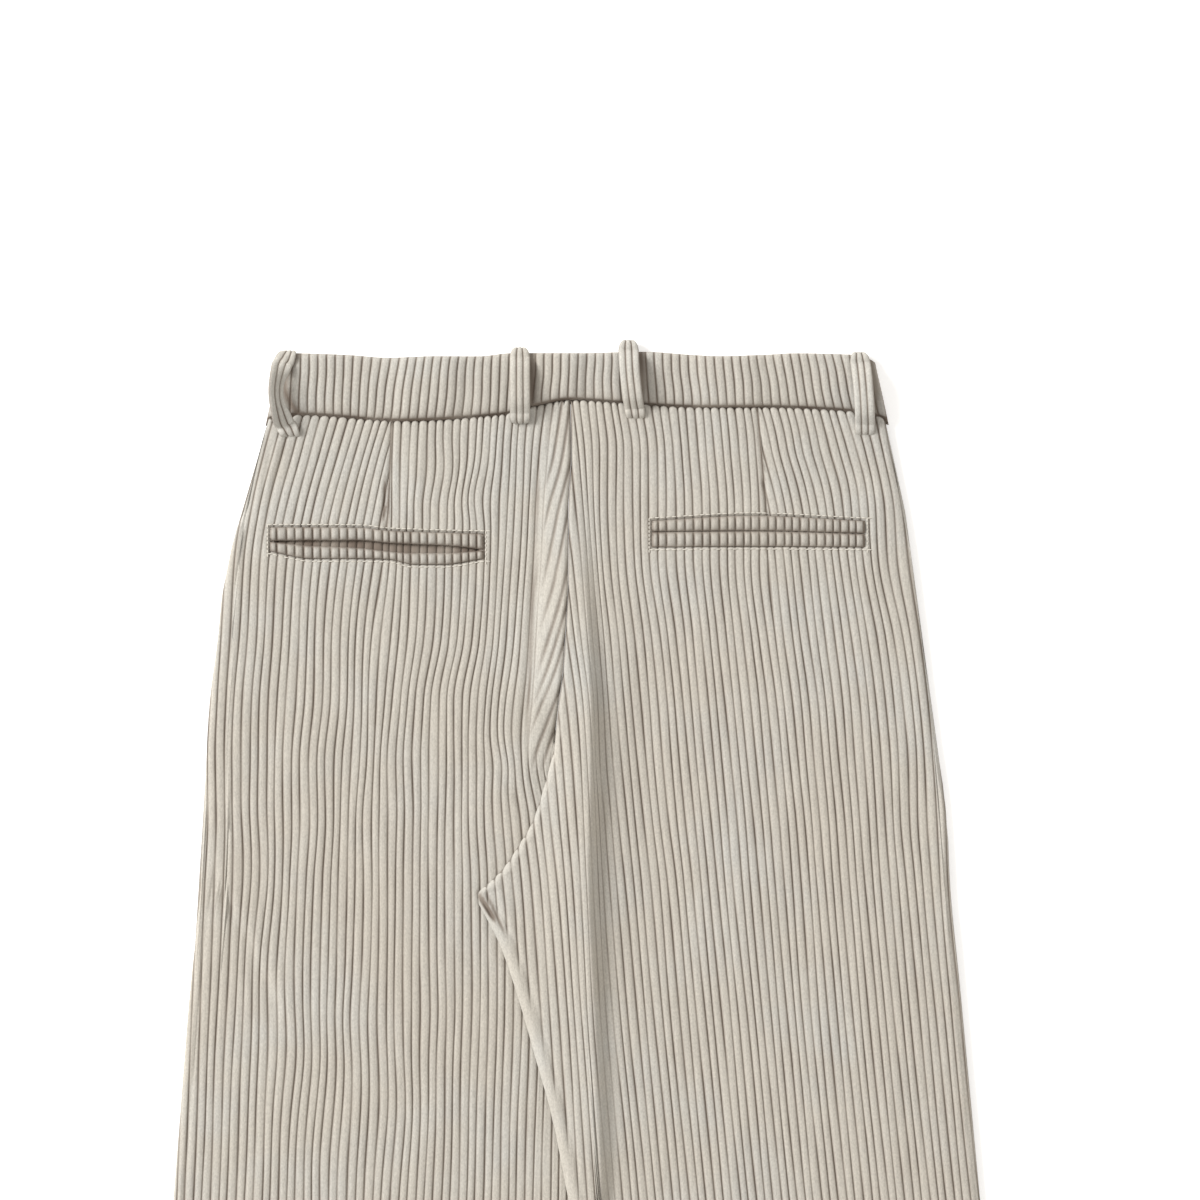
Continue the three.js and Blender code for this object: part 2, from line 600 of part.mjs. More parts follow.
// The prism that cuts a pocket's mouth through the back panel, a little under each lip
function pocketSlit(rows) {
  const first = rows[0].across + SLIT_INSET;
  const last = rows.at(-1).across - SLIT_INSET;
  const mouthTop = curve(rows, 'across', 'mouthTop');
  const mouthBottom = curve(rows, 'across', 'mouthBottom');
  const outline = [];
  for (let i = 0; i <= SLIT_STEPS; i += 1) {
    const across = mix(first, last, i / SLIT_STEPS);
    outline.push(new THREE.Vector2(across, -mouthBottom(across) - SLIT_TUCK));
  }
  for (let i = SLIT_STEPS; i >= 0; i -= 1) {
    const across = mix(first, last, i / SLIT_STEPS);
    outline.push(new THREE.Vector2(across, -mouthTop(across) + SLIT_TUCK));
  }
  const aboveAll = 40;
  return prism(outline, 0, aboveAll);
}

// An upright prism over an outline that runs anticlockwise
function prism(outline, from, to) {
  const positions = [];
  const index = [];
  for (const height of [from, to]) {
    for (const corner of outline) positions.push(corner.x, corner.y, height);
  }
  const count = outline.length;
  for (const [a, b, c] of THREE.ShapeUtils.triangulateShape(outline, [])) {
    index.push(a, c, b, a + count, b + count, c + count);
  }
  for (let i = 0; i < count; i += 1) {
    const next = (i + 1) % count;
    index.push(i, next, next + count, i, next + count, i + count);
  }
  return bodyGeometry(positions, index);
}

// A lip of a pocket lies on its panel's face, ribs in line with the panel's.
function pocketStrip(leg, rows, topName, bottomName, heightsAt, rise) {
  const topEdge = curve(rows, 'across', topName);
  const bottomEdge = curve(rows, 'across', bottomName);
  const first = rows[0].across;
  const last = rows.at(-1).across;
  const ribbed = [first];
  for (let wale = leg.firstWale; wale < leg.lastWale; wale += 0.5) {
    const across = leg.grain(wale, POCKET_GRAIN_DOWN);
    if (across > first + 1 && across < last - 1) ribbed.push(across);
  }
  ribbed.push(last);
  const even = [];
  for (let i = 0; i <= STRIP_STEPS; i += 1) even.push(mix(first, last, i / STRIP_STEPS));
  const place = (across, share) => ({ across, down: mix(topEdge(across), bottomEdge(across), share) });
  const offset = Math.round(leg.firstWale * 2);
  const upper = ribbed.map((across, i) => [0, 1].map((share) => {
    const at = place(across, share);
    const crest = (i + offset) % 2 === 0 ? rise : 0;
    return point(at, heightsAt(at).top + crest);
  }));
  const lower = even.map((across) => [0, 1].map((share) => {
    const at = place(across, share);
    return point(at, heightsAt(at).bottom);
  }));
  return slab(upper, lower);
}

// Back and front panels
const legs = { left: LEFT, right: RIGHT };
for (const [side, leg] of Object.entries(legs)) {
  const ribbed = halfWaleColumns(leg);
  const plain = plainColumns(leg);
  const rows = side === 'left' ? LEFT_POCKET : RIGHT_POCKET;
  const cut = toManifold(backPanel(leg, ribbed, plain)).subtract(toManifold(pocketSlit(rows)));
  add(`back_${side}`, fromManifold(cut));
  add(`front_${side}`, frontPanel(leg, plain));
}

// Back pockets
function lipHeights(leg) {
  return (at) => {
    const heights = layers(leg, at.across, at.down);
    const bottom = heights.face + WALE_RISE + GAP;
    return { bottom, top: bottom + LIP_CLOTH };
  };
}

function facingHeights(leg) {
  return (at) => {
    const heights = layers(leg, at.across, at.down);
    const bottom = heights.frontTop + GAP;
    return { bottom, top: bottom + FACING_CLOTH };
  };
}

for (const [side, leg, rows] of [['left', LEFT, LEFT_POCKET], ['right', RIGHT, RIGHT_POCKET]]) {
  const strip = (top, bottom, heightsAt, rise) => pocketStrip(leg, rows, top, bottom, heightsAt, rise);
  add(`pocket_${side}_upper_lip`, strip('top', 'mouthTop', lipHeights(leg), LIP_RISE));
  add(`pocket_${side}_lower_lip`, strip('mouthBottom', 'bottom', lipHeights(leg), LIP_RISE));
}

const facingRows = LEFT_POCKET.map((row) => ({
  across: row.across,
  top: row.mouthTop - FACING_TUCK,
  bottom: row.mouthBottom + FACING_TUCK,
}));
const facing = pocketStrip(LEFT, facingRows, 'top', 'bottom', facingHeights(LEFT), FACING_RISE);
add('pocket_left_facing', facing, cloth(EDGE_COLOUR));

// Waistband. Its underside is lifted over the button and the front loops, which lie under it.
const FRONT_LOOP_THICK = LOOP_CLOTH + LOOP_RISE;
const PRESS_SPREAD = 14;
const BUTTON_MARGIN = 6;
const BAND_SLANT = 8;

function pressedLift(across) {
  const over = (centre, half, thick) => {
    const offset = Math.abs(across - centre) - half;
    return (thick + GAP) * (1 - smooth(0, PRESS_SPREAD, offset));
  };
  const lifts = FRONT_LOOPS.map((loop) => over(loop.across, LOOP_WIDTH, FRONT_LOOP_THICK));
  return Math.max(over(BUTTON_ACROSS, BUTTON_RADIUS + BUTTON_MARGIN, BUTTON_THICK), ...lifts);
}

function bandHeights(across, share) {
  const reach = Math.min(across - BAND_ENDS.bottomLeft, BAND_ENDS.bottomRight - across);
  const round = rounded(reach - BAND_SLANT * (1 - share));
  const under = pressedLift(across);
  const frontTop = under + BAND_FRONT_CLOTH;
  const inner = frontTop + GAP + BAND_LOFT * round;
  return { under, frontTop, inner, face: inner + EDGE_CLOTH + (BAND_BACK_CLOTH - EDGE_CLOTH) * round };
}

function bandPlace(share, acrossShare) {
  const left = mix(BAND_ENDS.topLeft, BAND_ENDS.bottomLeft, share);
  const right = mix(BAND_ENDS.topRight, BAND_ENDS.bottomRight, share);
  const across = mix(left, right, acrossShare);
  return { across, down: mix(waistTop(across), waistSeam(across), share) };
}

const BAND_WALES = 70;
const BAND_BACK_STEPS = 36;
const BAND_FRONT_STEPS = 18;
const BAND_PLAIN_SHARES = [0.02, 0.5, 0.98];
const BAND_ROWS = table('share thin rib', [
  [0, 1.1, 0], [0.07, 0.2, 0.8], [0.88, 0, 1], [1, 0.5, 0],
]);

function bandBack() {
  const upper = [];
  for (let i = 0; i <= 2 * BAND_WALES; i += 1) {
    upper.push(BAND_ROWS.map((row) => {
      const place = bandPlace(row.share, i / (2 * BAND_WALES));
      const face = bandHeights(place.across, row.share).face - row.thin;
      return point(place, face + (i % 2) * BAND_RISE * row.rib);
    }));
  }
  const lower = [];
  for (let i = 0; i <= BAND_BACK_STEPS; i += 1) {
    lower.push(BAND_PLAIN_SHARES.map((share) => {
      const place = bandPlace(share, i / BAND_BACK_STEPS);
      return point(place, bandHeights(place.across, share).inner);
    }));
  }
  return slab(upper, lower);
}

function bandFront(fromShare, toShare) {
  const side = (layer) => {
    const columns = [];
    for (let i = 0; i <= BAND_FRONT_STEPS; i += 1) {
      const acrossShare = mix(fromShare, toShare, i / BAND_FRONT_STEPS);
      columns.push(BAND_PLAIN_SHARES.map((share) => {
        const place = bandPlace(share, acrossShare);
        return point(place, bandHeights(place.across, share)[layer]);
      }));
    }
    return columns;
  };
  return slab(side('frontTop'), side('under'));
}

const CENTRE_SHARE = 0.5;
const CENTRE_GAP = 0.0006;
add('waistband_back', bandBack());
add('waistband_front_left', bandFront(0, CENTRE_SHARE - CENTRE_GAP));
add('waistband_front_right', bandFront(CENTRE_SHARE + CENTRE_GAP, 1));

// A belt loop: a strip with three wales, swept along a line of stations. Each station has its middle on
// the underside of the strip, the direction of its width and the direction of its thickness.
function loopStrip(stations) {
  const half = LOOP_WIDTH / 2;
  const rib = LOOP_CLOTH + LOOP_RISE;
  const section = [
    [-half, 0], [half, 0], [half, LOOP_CLOTH], [half * 2 / 3, rib], [half / 3, LOOP_CLOTH], [0, rib],
    [-half / 3, LOOP_CLOTH], [-half * 2 / 3, rib], [-half, LOOP_CLOTH],
  ];
  const positions = [];
  const index = [];
  for (const station of stations) {
    for (const [aside, up] of section) {
      const at = station.middle.clone().addScaledVector(station.width, aside);
      at.addScaledVector(station.thickness, up);
      positions.push(at.x, at.y, at.z);
    }
  }
  const count = section.length;
  for (let s = 0; s + 1 < stations.length; s += 1) {
    for (let i = 0; i < count; i += 1) {
      const next = (i + 1) % count;
      const corners = [s * count + i, s * count + next, (s + 1) * count + next, (s + 1) * count + i];
      index.push(corners[0], corners[1], corners[2], corners[0], corners[2], corners[3]);
    }
  }
  const end = (stations.length - 1) * count;
  const cap = [[0, 1, 2], [0, 2, 4], [2, 3, 4], [0, 4, 6], [4, 5, 6], [0, 6, 8], [6, 7, 8]];
  for (const [a, b, c] of cap) {
    index.push(a, c, b, end + a, end + b, end + c);
  }
  return bodyGeometry(positions, index);
}

// Shares of the loop's length and of its height off the cloth
const LOOP_ARCH = table('share off', [
  [0, 0], [0.1, 0.02], [0.17, 0.35], [0.26, 0.8], [0.38, 0.98], [0.5, 1], [0.62, 0.98], [0.74, 0.8],
  [0.83, 0.35], [0.9, 0.02], [1, 0],
]);

function clothTop(across, down) {
  const top = waistTop(across);
  const seam = waistSeam(across);
  const share = Math.min(1, Math.max(0, (down - top) / (seam - top)));
  const band = bandHeights(across, share).face + BAND_RISE;
  if (down < seam - 2) return band;
  const leg = across < seatSeam(down) ? LEFT : RIGHT;
  return Math.max(band, layers(leg, across, Math.max(down, seam)).face + WALE_RISE);
}

function backLoop(loop) {
  const stations = LOOP_ARCH.map((arch) => {
    const lean = 4 * arch.share * (1 - arch.share);
    const ends = mix(loop.topAcross, loop.footAcross, arch.share);
    const across = ends + (loop.midAcross - (loop.topAcross + loop.footAcross) / 2) * lean;
    const down = mix(loop.topDown, loop.footDown, arch.share);
    const turn = loop.tilt * arch.off;
    const edge = (LOOP_WIDTH / 2) * Math.abs(Math.sin(turn));
    const seat = clothTop(across, Math.max(down, waistTop(across) + 1)) + GAP;
    const height = seat + loop.standOff * arch.off + edge * TILT_CLEAR;
    const middle = new THREE.Vector3(across, -down, height);
    return { middle, turn };
  });
  stations.forEach((station, i) => {
    const before = stations[Math.max(0, i - 1)].middle;
    const after = stations[Math.min(stations.length - 1, i + 1)].middle;
    const along = after.clone().sub(before).normalize();
    const level = new THREE.Vector3(1, 0, 0).addScaledVector(along, -along.x).normalize();
    const upright = new THREE.Vector3().crossVectors(level, along).negate();
    station.width = level.clone().applyAxisAngle(along, station.turn);
    station.thickness = upright.clone().applyAxisAngle(along, station.turn);
  });
  return loopStrip(stations);
}

for (const loop of BACK_LOOPS) add(loop.name, backLoop(loop));

// A front loop is pressed flat under the waistband, its ribs towards the table.
function frontLoop(across) {
  const top = waistTop(across) + 1;
  const foot = waistSeam(across) - 1;
  const width = new THREE.Vector3(-1, 0, 0);
  const thickness = new THREE.Vector3(0, 0, -1);
  return loopStrip([top, (top + foot) / 2, foot].map((down) => {
    const middle = new THREE.Vector3(across, -down, FRONT_LOOP_THICK);
    return { middle, width, thickness };
  }));
}

for (const loop of FRONT_LOOPS) add(loop.name, frontLoop(loop.across));

// The flap behind the front opening, between the right front panel and the seat
function flyFlap() {
  const places = plainColumns(RIGHT).slice(1, FLY_COLUMNS).map((column) => column.slice(1, FLY_ROWS));
  const side = (extra) => places.map((column) => column.map((place) => {
    const heights = layers(RIGHT, place.across, place.down);
    return point(place, heights.frontTop + FLY_CLEAR + extra);
  }));
  return slab(side(FLY_CLOTH), side(0));
}

add('fly_flap', flyFlap(), cloth(EDGE_COLOUR));

// The waist button: a rimmed disc with its face to the table
function waistButton() {
  const rim = BUTTON_THICK * 0.25;
  const profile = [
    [0, BUTTON_THICK], [BUTTON_RADIUS * 0.8, BUTTON_THICK], [BUTTON_RADIUS, BUTTON_THICK * 0.6],
    [BUTTON_RADIUS, rim], [BUTTON_RADIUS * 0.9, 0], [BUTTON_RADIUS * 0.7, 0],
    [BUTTON_RADIUS * 0.6, rim], [0, rim],
  ].map(([radius, height]) => new THREE.Vector2(radius, height)).reverse();
  const disc = new THREE.LatheGeometry(profile, BUTTON_SIDES);
  disc.rotateX(Math.PI / 2);
  return disc;
}

const button = add('waist_button', waistButton(), new THREE.MeshStandardMaterial({
  color: BUTTON_COLOUR,
  roughness: 0.45,
  metalness: 0,
}));
button.position.set(BUTTON_ACROSS, -BUTTON_DOWN, 0);

// The origin is at the middle of the part's box, on the table.
trousers.updateMatrixWorld(true);
const box = new THREE.Box3().setFromObject(trousers);
const centre = box.getCenter(new THREE.Vector3());
trousers.position.set(-centre.x, -centre.y, -box.min.z);

export default trousers;
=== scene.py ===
"""Looks of a pair of corduroy trousers laid flat with the seat side up.

The solids of the frame give each piece its place. Here every length of cloth is built again as a thin
shell on the same form, with its wales rounded, its creases, seams and stitches, and its nap.

Lengths are in millimetres until a mesh is made. Places on the cloth are given by "across", to the right
of the centre back, and "down", from the top edge of the waistband towards the hems.
"""

import math

import bpy
import numpy as np
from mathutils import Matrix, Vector


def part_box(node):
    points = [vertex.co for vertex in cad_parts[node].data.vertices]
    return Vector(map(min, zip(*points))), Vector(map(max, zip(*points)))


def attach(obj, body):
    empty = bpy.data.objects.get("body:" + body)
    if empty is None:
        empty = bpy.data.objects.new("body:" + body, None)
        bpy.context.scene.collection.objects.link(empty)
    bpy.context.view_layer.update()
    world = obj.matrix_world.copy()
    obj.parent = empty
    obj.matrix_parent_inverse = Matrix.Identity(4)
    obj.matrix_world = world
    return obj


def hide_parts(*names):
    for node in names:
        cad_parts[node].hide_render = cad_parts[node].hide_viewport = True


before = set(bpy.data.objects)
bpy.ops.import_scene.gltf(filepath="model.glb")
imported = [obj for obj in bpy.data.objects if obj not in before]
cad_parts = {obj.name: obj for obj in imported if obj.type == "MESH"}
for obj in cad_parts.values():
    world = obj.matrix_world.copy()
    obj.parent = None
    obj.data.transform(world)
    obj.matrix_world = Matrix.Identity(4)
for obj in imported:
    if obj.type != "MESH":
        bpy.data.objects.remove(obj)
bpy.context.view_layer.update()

MM = 0.001

# Cloth
WALE_RISE = 0.9
GROOVE_DEPTH = 0.45
CLOTH = 1.6
FRONT_CLOTH = 1.8
GAP = 0.3
LOFT = 1.6
EDGE_ROUND = 6.0
EDGE_CLOTH = 1.0
HEM_DOWN = 1125.0
HEM_PRESS = 14.0
HEM_STITCHES = 25.0
SQUEEZED_PITCH = 2.2
INNER_PILE = 0.55
WALE_UNEVEN = 0.3
FALL_WIDTH = 9.0
FALL_SHARE = 0.5
FALL_START = 80.0
FALL_FULL = 150.0
MOST_FILLED = 0.7

# How far down the fork starts to lift off the left leg, how far down it lies on it, and its rolled edge
FORK_START = 236.0
FORK_END = 262.0
SEAT_WALES_END = 285.0
ROLL_START = 205.0
ROLL_FULL = 250.0
ROLL_SWELL = (300.0, 345.0)
ROLL_PILE = 0.97

# Seams and darts
SEAM_DITCH = 1.0
SEAM_DITCH_WIDTH = 1.5
# Width of the lines of painted shade along the seat seam and the darts
SEAM_LINE = 0.6

# How wales wander: free this far from the edges and below the waist, and straighter down the right leg
WANDER_ROOM = 24.0
WANDER_START = 42.0
WANDER_FULL = 70.0
STRAIGHTER = 0.75
STRAIGHT_START = 130.0
STRAIGHT_FULL = 200.0

# Ditches and gaps at the other seams
SIDE_SEAM_DITCH = 0.8
SIDE_SEAM_WIDTH = 1.2
SIDE_SEAM_IN = {"left": 6.5, "right": 3.0}
SIDE_SEAM_START = 330.0
SIDE_SEAM_END = 390.0
CLOTH_RIPPLE = 0.26
WAIST_GAP = 0.7
WAIST_ROUND = 3.2
WAIST_DROP = 1.8
WAIST_SCALLOP = 2.8
TIP_DOWN = 361.0
ROLL_WIDTH = 2.8
BAND_EDGE = 8.0

# Waistband and belt loops
BAND_FRONT_CLOTH = 2.6
BAND_BACK_CLOTH = 2.2
BAND_LOFT = 0.9
BAND_WALES = 70
BAND_RISE = 0.75
BAND_LEAN = 6.5
LOOP_WIDTH = 13.0
LOOP_CLOTH = 1.3
LOOP_RISE = 0.6

# Back pockets
POCKET_PUFF = 0.8
POCKET_SINK = 1.5
SINK_SLOPE = 1.8
LIP_STAND = 0.35
LIP_CLOTH = 1.1
LIP_RISE = 0.95
LIP_GROOVE = 0.95
LIP_TUCK = 4.0
FACING_CLOTH = 0.9
SLIT_TUCK = 0.8

# Front closing
FLY_CLOTH = 1.0
FLY_CLEAR = 0.45
FLY_REACH = 40.0
FLY_ROWS = 60
FLY_COLUMNS = 10
BAND_SPLIT = 0.0006
BUTTON_RADIUS = 8.5
BUTTON_THICK = 2.8
BUTTON_ACROSS = -20.0
BUTTON_DOWN = 19.0

# Sewing thread
STITCH_LENGTH = 2.9
STITCH_SPACING = 3.7
THREAD_RADIUS = 0.4
SHORT_STITCH = 2.0
SHORT_SPACING = 2.6
POCKET_ASIDE = 1.6
POCKET_OFF = 1.9

# The photograph: its middle on the cloth and its width there
VIEW_ACROSS = 14.67
VIEW_DOWN = 165.33
VIEW_WIDTH = 800.0
CAMERA_HEIGHT = 4000.0
SENSOR_WIDTH = 36.0


def table(heads, rows):
    """A dictionary of columns, from a line of column heads and one row for each level or fold."""
    return {name: np.array([row[i] for row in rows]) for i, name in enumerate(heads.split())}


SEAT_SEAM = table("down across", [
    [32, -5], [69, -4.5], [107, -6.5], [151, -6.5], [191, -8.5], [213, -10], [240, -13.5], [261, -15.5],
])
FORK_AND_INSEAM = table("down across", [
    [285, -21.5], [312, -30], [326, -38], [345, -50.8], [355, -61.4], [358.5, -65.3], [361, -66.8],
    [364, -67.1], [368, -65.8], [373, -63], [396, -51.5],
    [428, -40.5], [473, -27.5], [509, -17.5], [564, -6.5], [690, 18.5], [1125, 68],
])
HIDDEN_INSEAM = table("down across", [
    [264, -8], [272, -3], [285, 1], [300, 3], [319, 4], [352, 4], [432, 7], [500, 8], [552, 7], [600, -4],
    [690, -22], [1125, -55.5],
])
LEFT_SIDE = table("down across", [
    [44, -207.5], [65, -212.5], [82, -216.5], [102, -220.5], [119, -228], [139, -232.5], [165, -237.5],
    [192, -240], [225, -244.5], [262, -247.5], [299, -248], [332, -248.5], [359, -251.5], [389, -254.5],
    [432, -259], [475, -262.5], [515, -265.5], [565, -269.5], [690, -276], [1125, -285.5],
])
RIGHT_SIDE = table("down across", [
    [44, 206.5], [59, 208], [75, 212], [99, 216.5], [119, 220.5], [139, 223.5], [165, 226.5], [192, 230],
    [229, 234.5], [259, 238.5], [299, 244.5], [339, 247.5], [359, 248.5], [399, 252.5], [439, 256],
    [479, 259.5], [519, 263.5], [565, 268], [690, 275.5], [1125, 298],
])
WAIST_TOP = table("across down", [
    [-199, 4], [-190, 1], [-155.5, 2], [-125.5, 4], [-95.5, 3], [-65.5, 3], [-45.5, 1], [-5.5, 1],
    [44.5, 0], [74.5, 2], [94.5, 3], [124.5, 2], [144.5, 1], [184.5, 2], [194.5, 5], [199, 8],
])
WAIST_SEAM = table("across down", [
    [-207.5, 44], [-185.5, 41], [-118.5, 45], [-52, 41], [-28.5, 35], [-5.5, 31], [28, 33], [81.5, 36],
    [121.5, 36], [188, 39], [206.5, 44],
])
BAND_TOP_ENDS = (-198.0, 198.0)
BAND_BOTTOM_ENDS = (-207.0, 206.0)

# Grain: where the grooves of a few numbered wales run, level by level
LEFT_GRAIN = table("down w4 w8 w16 dartLeft dartRight w24 w32 w38 w42 w45", [
    [32, -204.5, -180.5, -132, -106.5, -128, -110.5, -66.5, -37.5, -16.5, -5.2],
    [65, -214.5, -190, -141.5, -116.5, -128.5, -112, -68.5, -40.5, -20, -4.7],
    [105, -223.5, -200.5, -152, -124, -128.5, -112.5, -72, -42.5, -23.5, -6.7],
    [139, -228.5, -205.5, -158.5, -130, -130, -116, -72.5, -44, -24.5, -6.7],
    [192, -231.5, -208.5, -164, -137.5, -137.5, -119.5, -76, -47.5, -27.5, -8.7],
    [232, -234, -211.5, -166, -140.5, -140.5, -124, -82, -50.5, -29.5, -12.5],
    [272, -235.5, -212.5, -169.5, -141.5, -141.5, -127.5, -82, -53.5, -32.5, -17.5],
    [312, -235.5, -214, -168.5, -143.5, -143.5, -126, -82.5, -50, -26.5, -10.5],
    [352, -236.5, -214, -170.5, -142.5, -142.5, -126, -82, -48, -24.5, -8],
    [432, -239.5, -216.5, -171.5, -143.5, -143.5, -126.5, -82.5, -48.5, -26, -9.5],
    [552, -244, -221.5, -176.5, -147.5, -147.5, -130, -84.5, -51.5, -29.5, -12.5],
    [690, -250.5, -228.5, -183.5, -154.5, -154.5, -138, -92.5, -58.5, -36, -19.5],
    [1125, -280, -257.5, -212.5, -184, -184, -167.5, -122.5, -88.5, -66, -49.5],
])
LEFT_GUIDES = {"w4": 4, "w8": 8, "w16": 16, "dartLeft": 21, "dartRight": 21, "w24": 24, "w32": 32,
               "w38": 38, "w42": 42, "w45": 45}
RIGHT_GRAIN = table("down back16 back9 back5 back2 w0 w6 w12 dartLeft dartRight w24 w30 w36 w39", [
    [32, -84.5, -44, -21.5, -4, 6.5, 36.5, 71.5, 119.5, 103.5, 120.5, 153.5, 188, 209],
    [65, -81.5, -40.5, -18, 0, 9.5, 41.5, 74.5, 124.5, 112.5, 129.5, 162, 196.5, 213.5],
    [105, -76.5, -36, -13.5, 3.5, 10.5, 42.5, 77.5, 126, 122, 138, 170.5, 204.5, 222.5],
    [139, -72, -31.5, -8.5, 6.5, 12.5, 43.5, 78, 126, 126, 142, 174.5, 206.5, 227.5],
    [192, -65.5, -24.5, -2, 10.5, 17.5, 49.5, 82.5, 132, 132, 148.5, 182.5, 216.5, 234],
    [232, -60, -19.5, 3.5, 13.5, 20.5, 53.5, 86.5, 137.5, 137.5, 154, 187.5, 222, 238.5],
    [272, -56.5, -16, 6.5, 14.5, 23.5, 56.5, 90.5, 141.5, 141.5, 157.5, 190.5, 225.5, 241.5],
    [312, -53.5, -12.5, 8.5, 17.5, 27.5, 60.5, 94.5, 145.5, 145.5, 161.5, 193.5, 226.5, 245],
    [352, -49.5, -8.5, 10, 20.5, 31.5, 65.5, 98, 148.5, 148.5, 164.5, 196.5, 230, 246.5],
    [432, -43.5, -2.5, 14, 27.5, 38.5, 72.5, 106, 154.5, 154.5, 171.5, 204, 237.5, 254],
    [552, -34, 5.5, 24, 39.5, 50.5, 84.5, 118, 166.5, 166.5, 183.5, 216.5, 249.5, 265.5],
    [690, -24.5, 15, 37.5, 54, 65.5, 98.5, 132, 182.5, 182.5, 199.5, 232.5, 266.5, 283.5],
    [1125, 18, 57.5, 79.5, 96.5, 108, 141.5, 174.5, 225.5, 225.5, 242, 275.5, 309.5, 326],
])
RIGHT_GUIDES = {"back16": -16, "back9": -9, "back5": -5, "back2": -2, "w0": 0, "w6": 6, "w12": 12,
                "dartLeft": 21, "dartRight": 21, "w24": 24, "w30": 30, "w36": 36, "w39": 39}
DART_WALE = 21
DART_END = 139.0
DART_TUCK = 0.3
LEFT_LAST_WALE = 51
EDGE_STEP = 0.12
LEFT_DART = table("down across", [[42, -124], [80, -125.3], [112, -126.8], [139, -130]])
RIGHT_DART = table("down across", [[36, 119.3], [72, 122.5], [109, 125.3], [139, 126]])

# Wales of the left panel that leave the seat seam: where each starts and how far it leans, in degrees
SEAT_WALES = table("start lean", [
    [-4, 8], [34, 8.5], [71, 9], [107, 10.5], [143, 11], [168, 12], [191, 13], [224, 14], [249, 15],
    [275, 16], [300, 16],
])
SEAT_WALE_REACH = (11.0, 19.0)
SEAT_WALE_GROOVE = 1.0
SEAT_WALE_DEPTH = 0.62
FIRST_SEAT_WALE = 42
LAST_SEAT_WALE = 46

# The ridge along the seat seam and down the inside of the right leg
RIGHT_RIDGE = table("down drop rest under puff", [
    [40, 2, 0, 0, 0], [65, 3, 0, 0, 0.8], [105, 5, 0.3, 0.5, 1.8], [139, 6.7, 1.6, 2.5, 2],
    [192, 10.7, 3.8, 5.5, 2], [232, 12.5, 5.6, 8.4, 2], [261, 13, 6.7, 9.6, 2], [312, 12.3, 6.7, 10, 2],
    [352, 11.5, 6.7, 10, 2], [432, 14.5, 6.7, 8.4, 1.6], [552, 18.7, 6.7, 7, 0.8],
    [600, 7.5, 6.7, 6.8, 0.2], [690, -13, 6.7, 6.7, 0], [1125, -49, 6.7, 6.7, 0],
])
RIDGE_HALF_DROP = 5.5
RIDGE_WIDTH = 28.0
RIDGE_TAIL = 1.3
RIDGE_TAIL_WIDTH = 16.0
LEFT_RIDGE = table("down under puff", [
    [40, 0, 0], [65, 0, 0.8], [105, 0.4, 1.6], [139, 1.8, 2], [192, 3.9, 2], [215, 4.2, 2],
    [232, 3, 1.4], [250, 0.8, 0.5], [261, 0, 0.2], [285, 0, 0], [1125, 0, 0],
])
LEFT_RIDGE_WIDTH = 26.0

# The largest folds, each a soft trough or ridge from one place to another
FOLDS = table("from_across from_down to_across to_down width height", [
    [-247, 336, -190, 473, 6, -0.9],
    [-243, 322, -180, 462, 9, 0.8],
    [-79, 250, -32, 302, 6, -0.8],
    [40, 180, 58, 430, 14, -0.7],
    [96, 230, 140, 520, 20, 0.5],
    [200, 150, 236, 330, 12, -0.5],
    [-170, 190, -150, 320, 16, -0.5],
])

# Smaller creases, which only the looks have
CREASES = table("from_across from_down to_across to_down width height", [
    [-27, 70, -29, 175, 4.2, -1.1],
    [-28, 150, -36, 262, 4.2, -1.3],
    [-9, 60, -13, 232, 6.5, 0.8],
    [-199, 56, -207, 92, 1.8, 0.8],
    [-203, 58, -211, 92, 1.4, -0.6],
    [-56, 350, -40, 392, 4.0, 0.9],
    [-62, 378, -46, 412, 3.0, -0.5],
    [-244, 350, -214, 402, 3.0, -0.7],
    [-222, 384, -196, 446, 3.4, -0.7],
    [-238, 342, -206, 416, 4.0, 0.5],
    [-78, 250, -52, 276, 3.2, -0.6],
    [-58, 272, -34, 306, 3.0, -0.7],
    [-66, 262, -44, 296, 4.0, 0.5],
    [-110, 62, -106, 110, 7.0, 0.5],
    [-72, 58, -86, 104, 5.0, -0.5],
    [-94, 70, -60, 112, 6.0, 0.4],
    [150, 52, 188, 96, 7.0, -0.5],
    [144, 66, 182, 112, 8.0, 0.4],
    [212, 70, 219, 130, 4.0, -0.5],
    [-120, 300, -96, 470, 18.0, 0.5],
    [-205, 210, -196, 330, 12.0, -0.4],
    [60, 300, 84, 560, 12.0, -0.5],
    [180, 340, 214, 560, 14.0, 0.4],
    [-160, 700, -130, 930, 20.0, 0.6],
    [-230, 640, -196, 800, 12.0, -0.5],
    [120, 680, 160, 920, 22.0, 0.6],
    [200, 760, 236, 960, 12.0, -0.5],
])

# Narrow slits, dented and darkened with painted shade: the pinch at the top of the seat seam, the foot
# of each dart and the crotch's tip
SLITS = table("from_across from_down to_across to_down width height", [
    [-4.6, 36, -4.6, 66, 0.8, -0.9],
    [-128.4, 84, -129.4, 116, 0.6, -1.5],
    [123.2, 84, 126.1, 110, 0.6, -1.5],
    [-66, 361, -55.5, 378, 1.3, -2.2],
    [-60, 362, -49, 386, 1.0, -0.7],
    [-29, 150, -34, 256, 0.8, -0.7],
    [-26, 78, -28, 160, 0.7, -0.5],
])

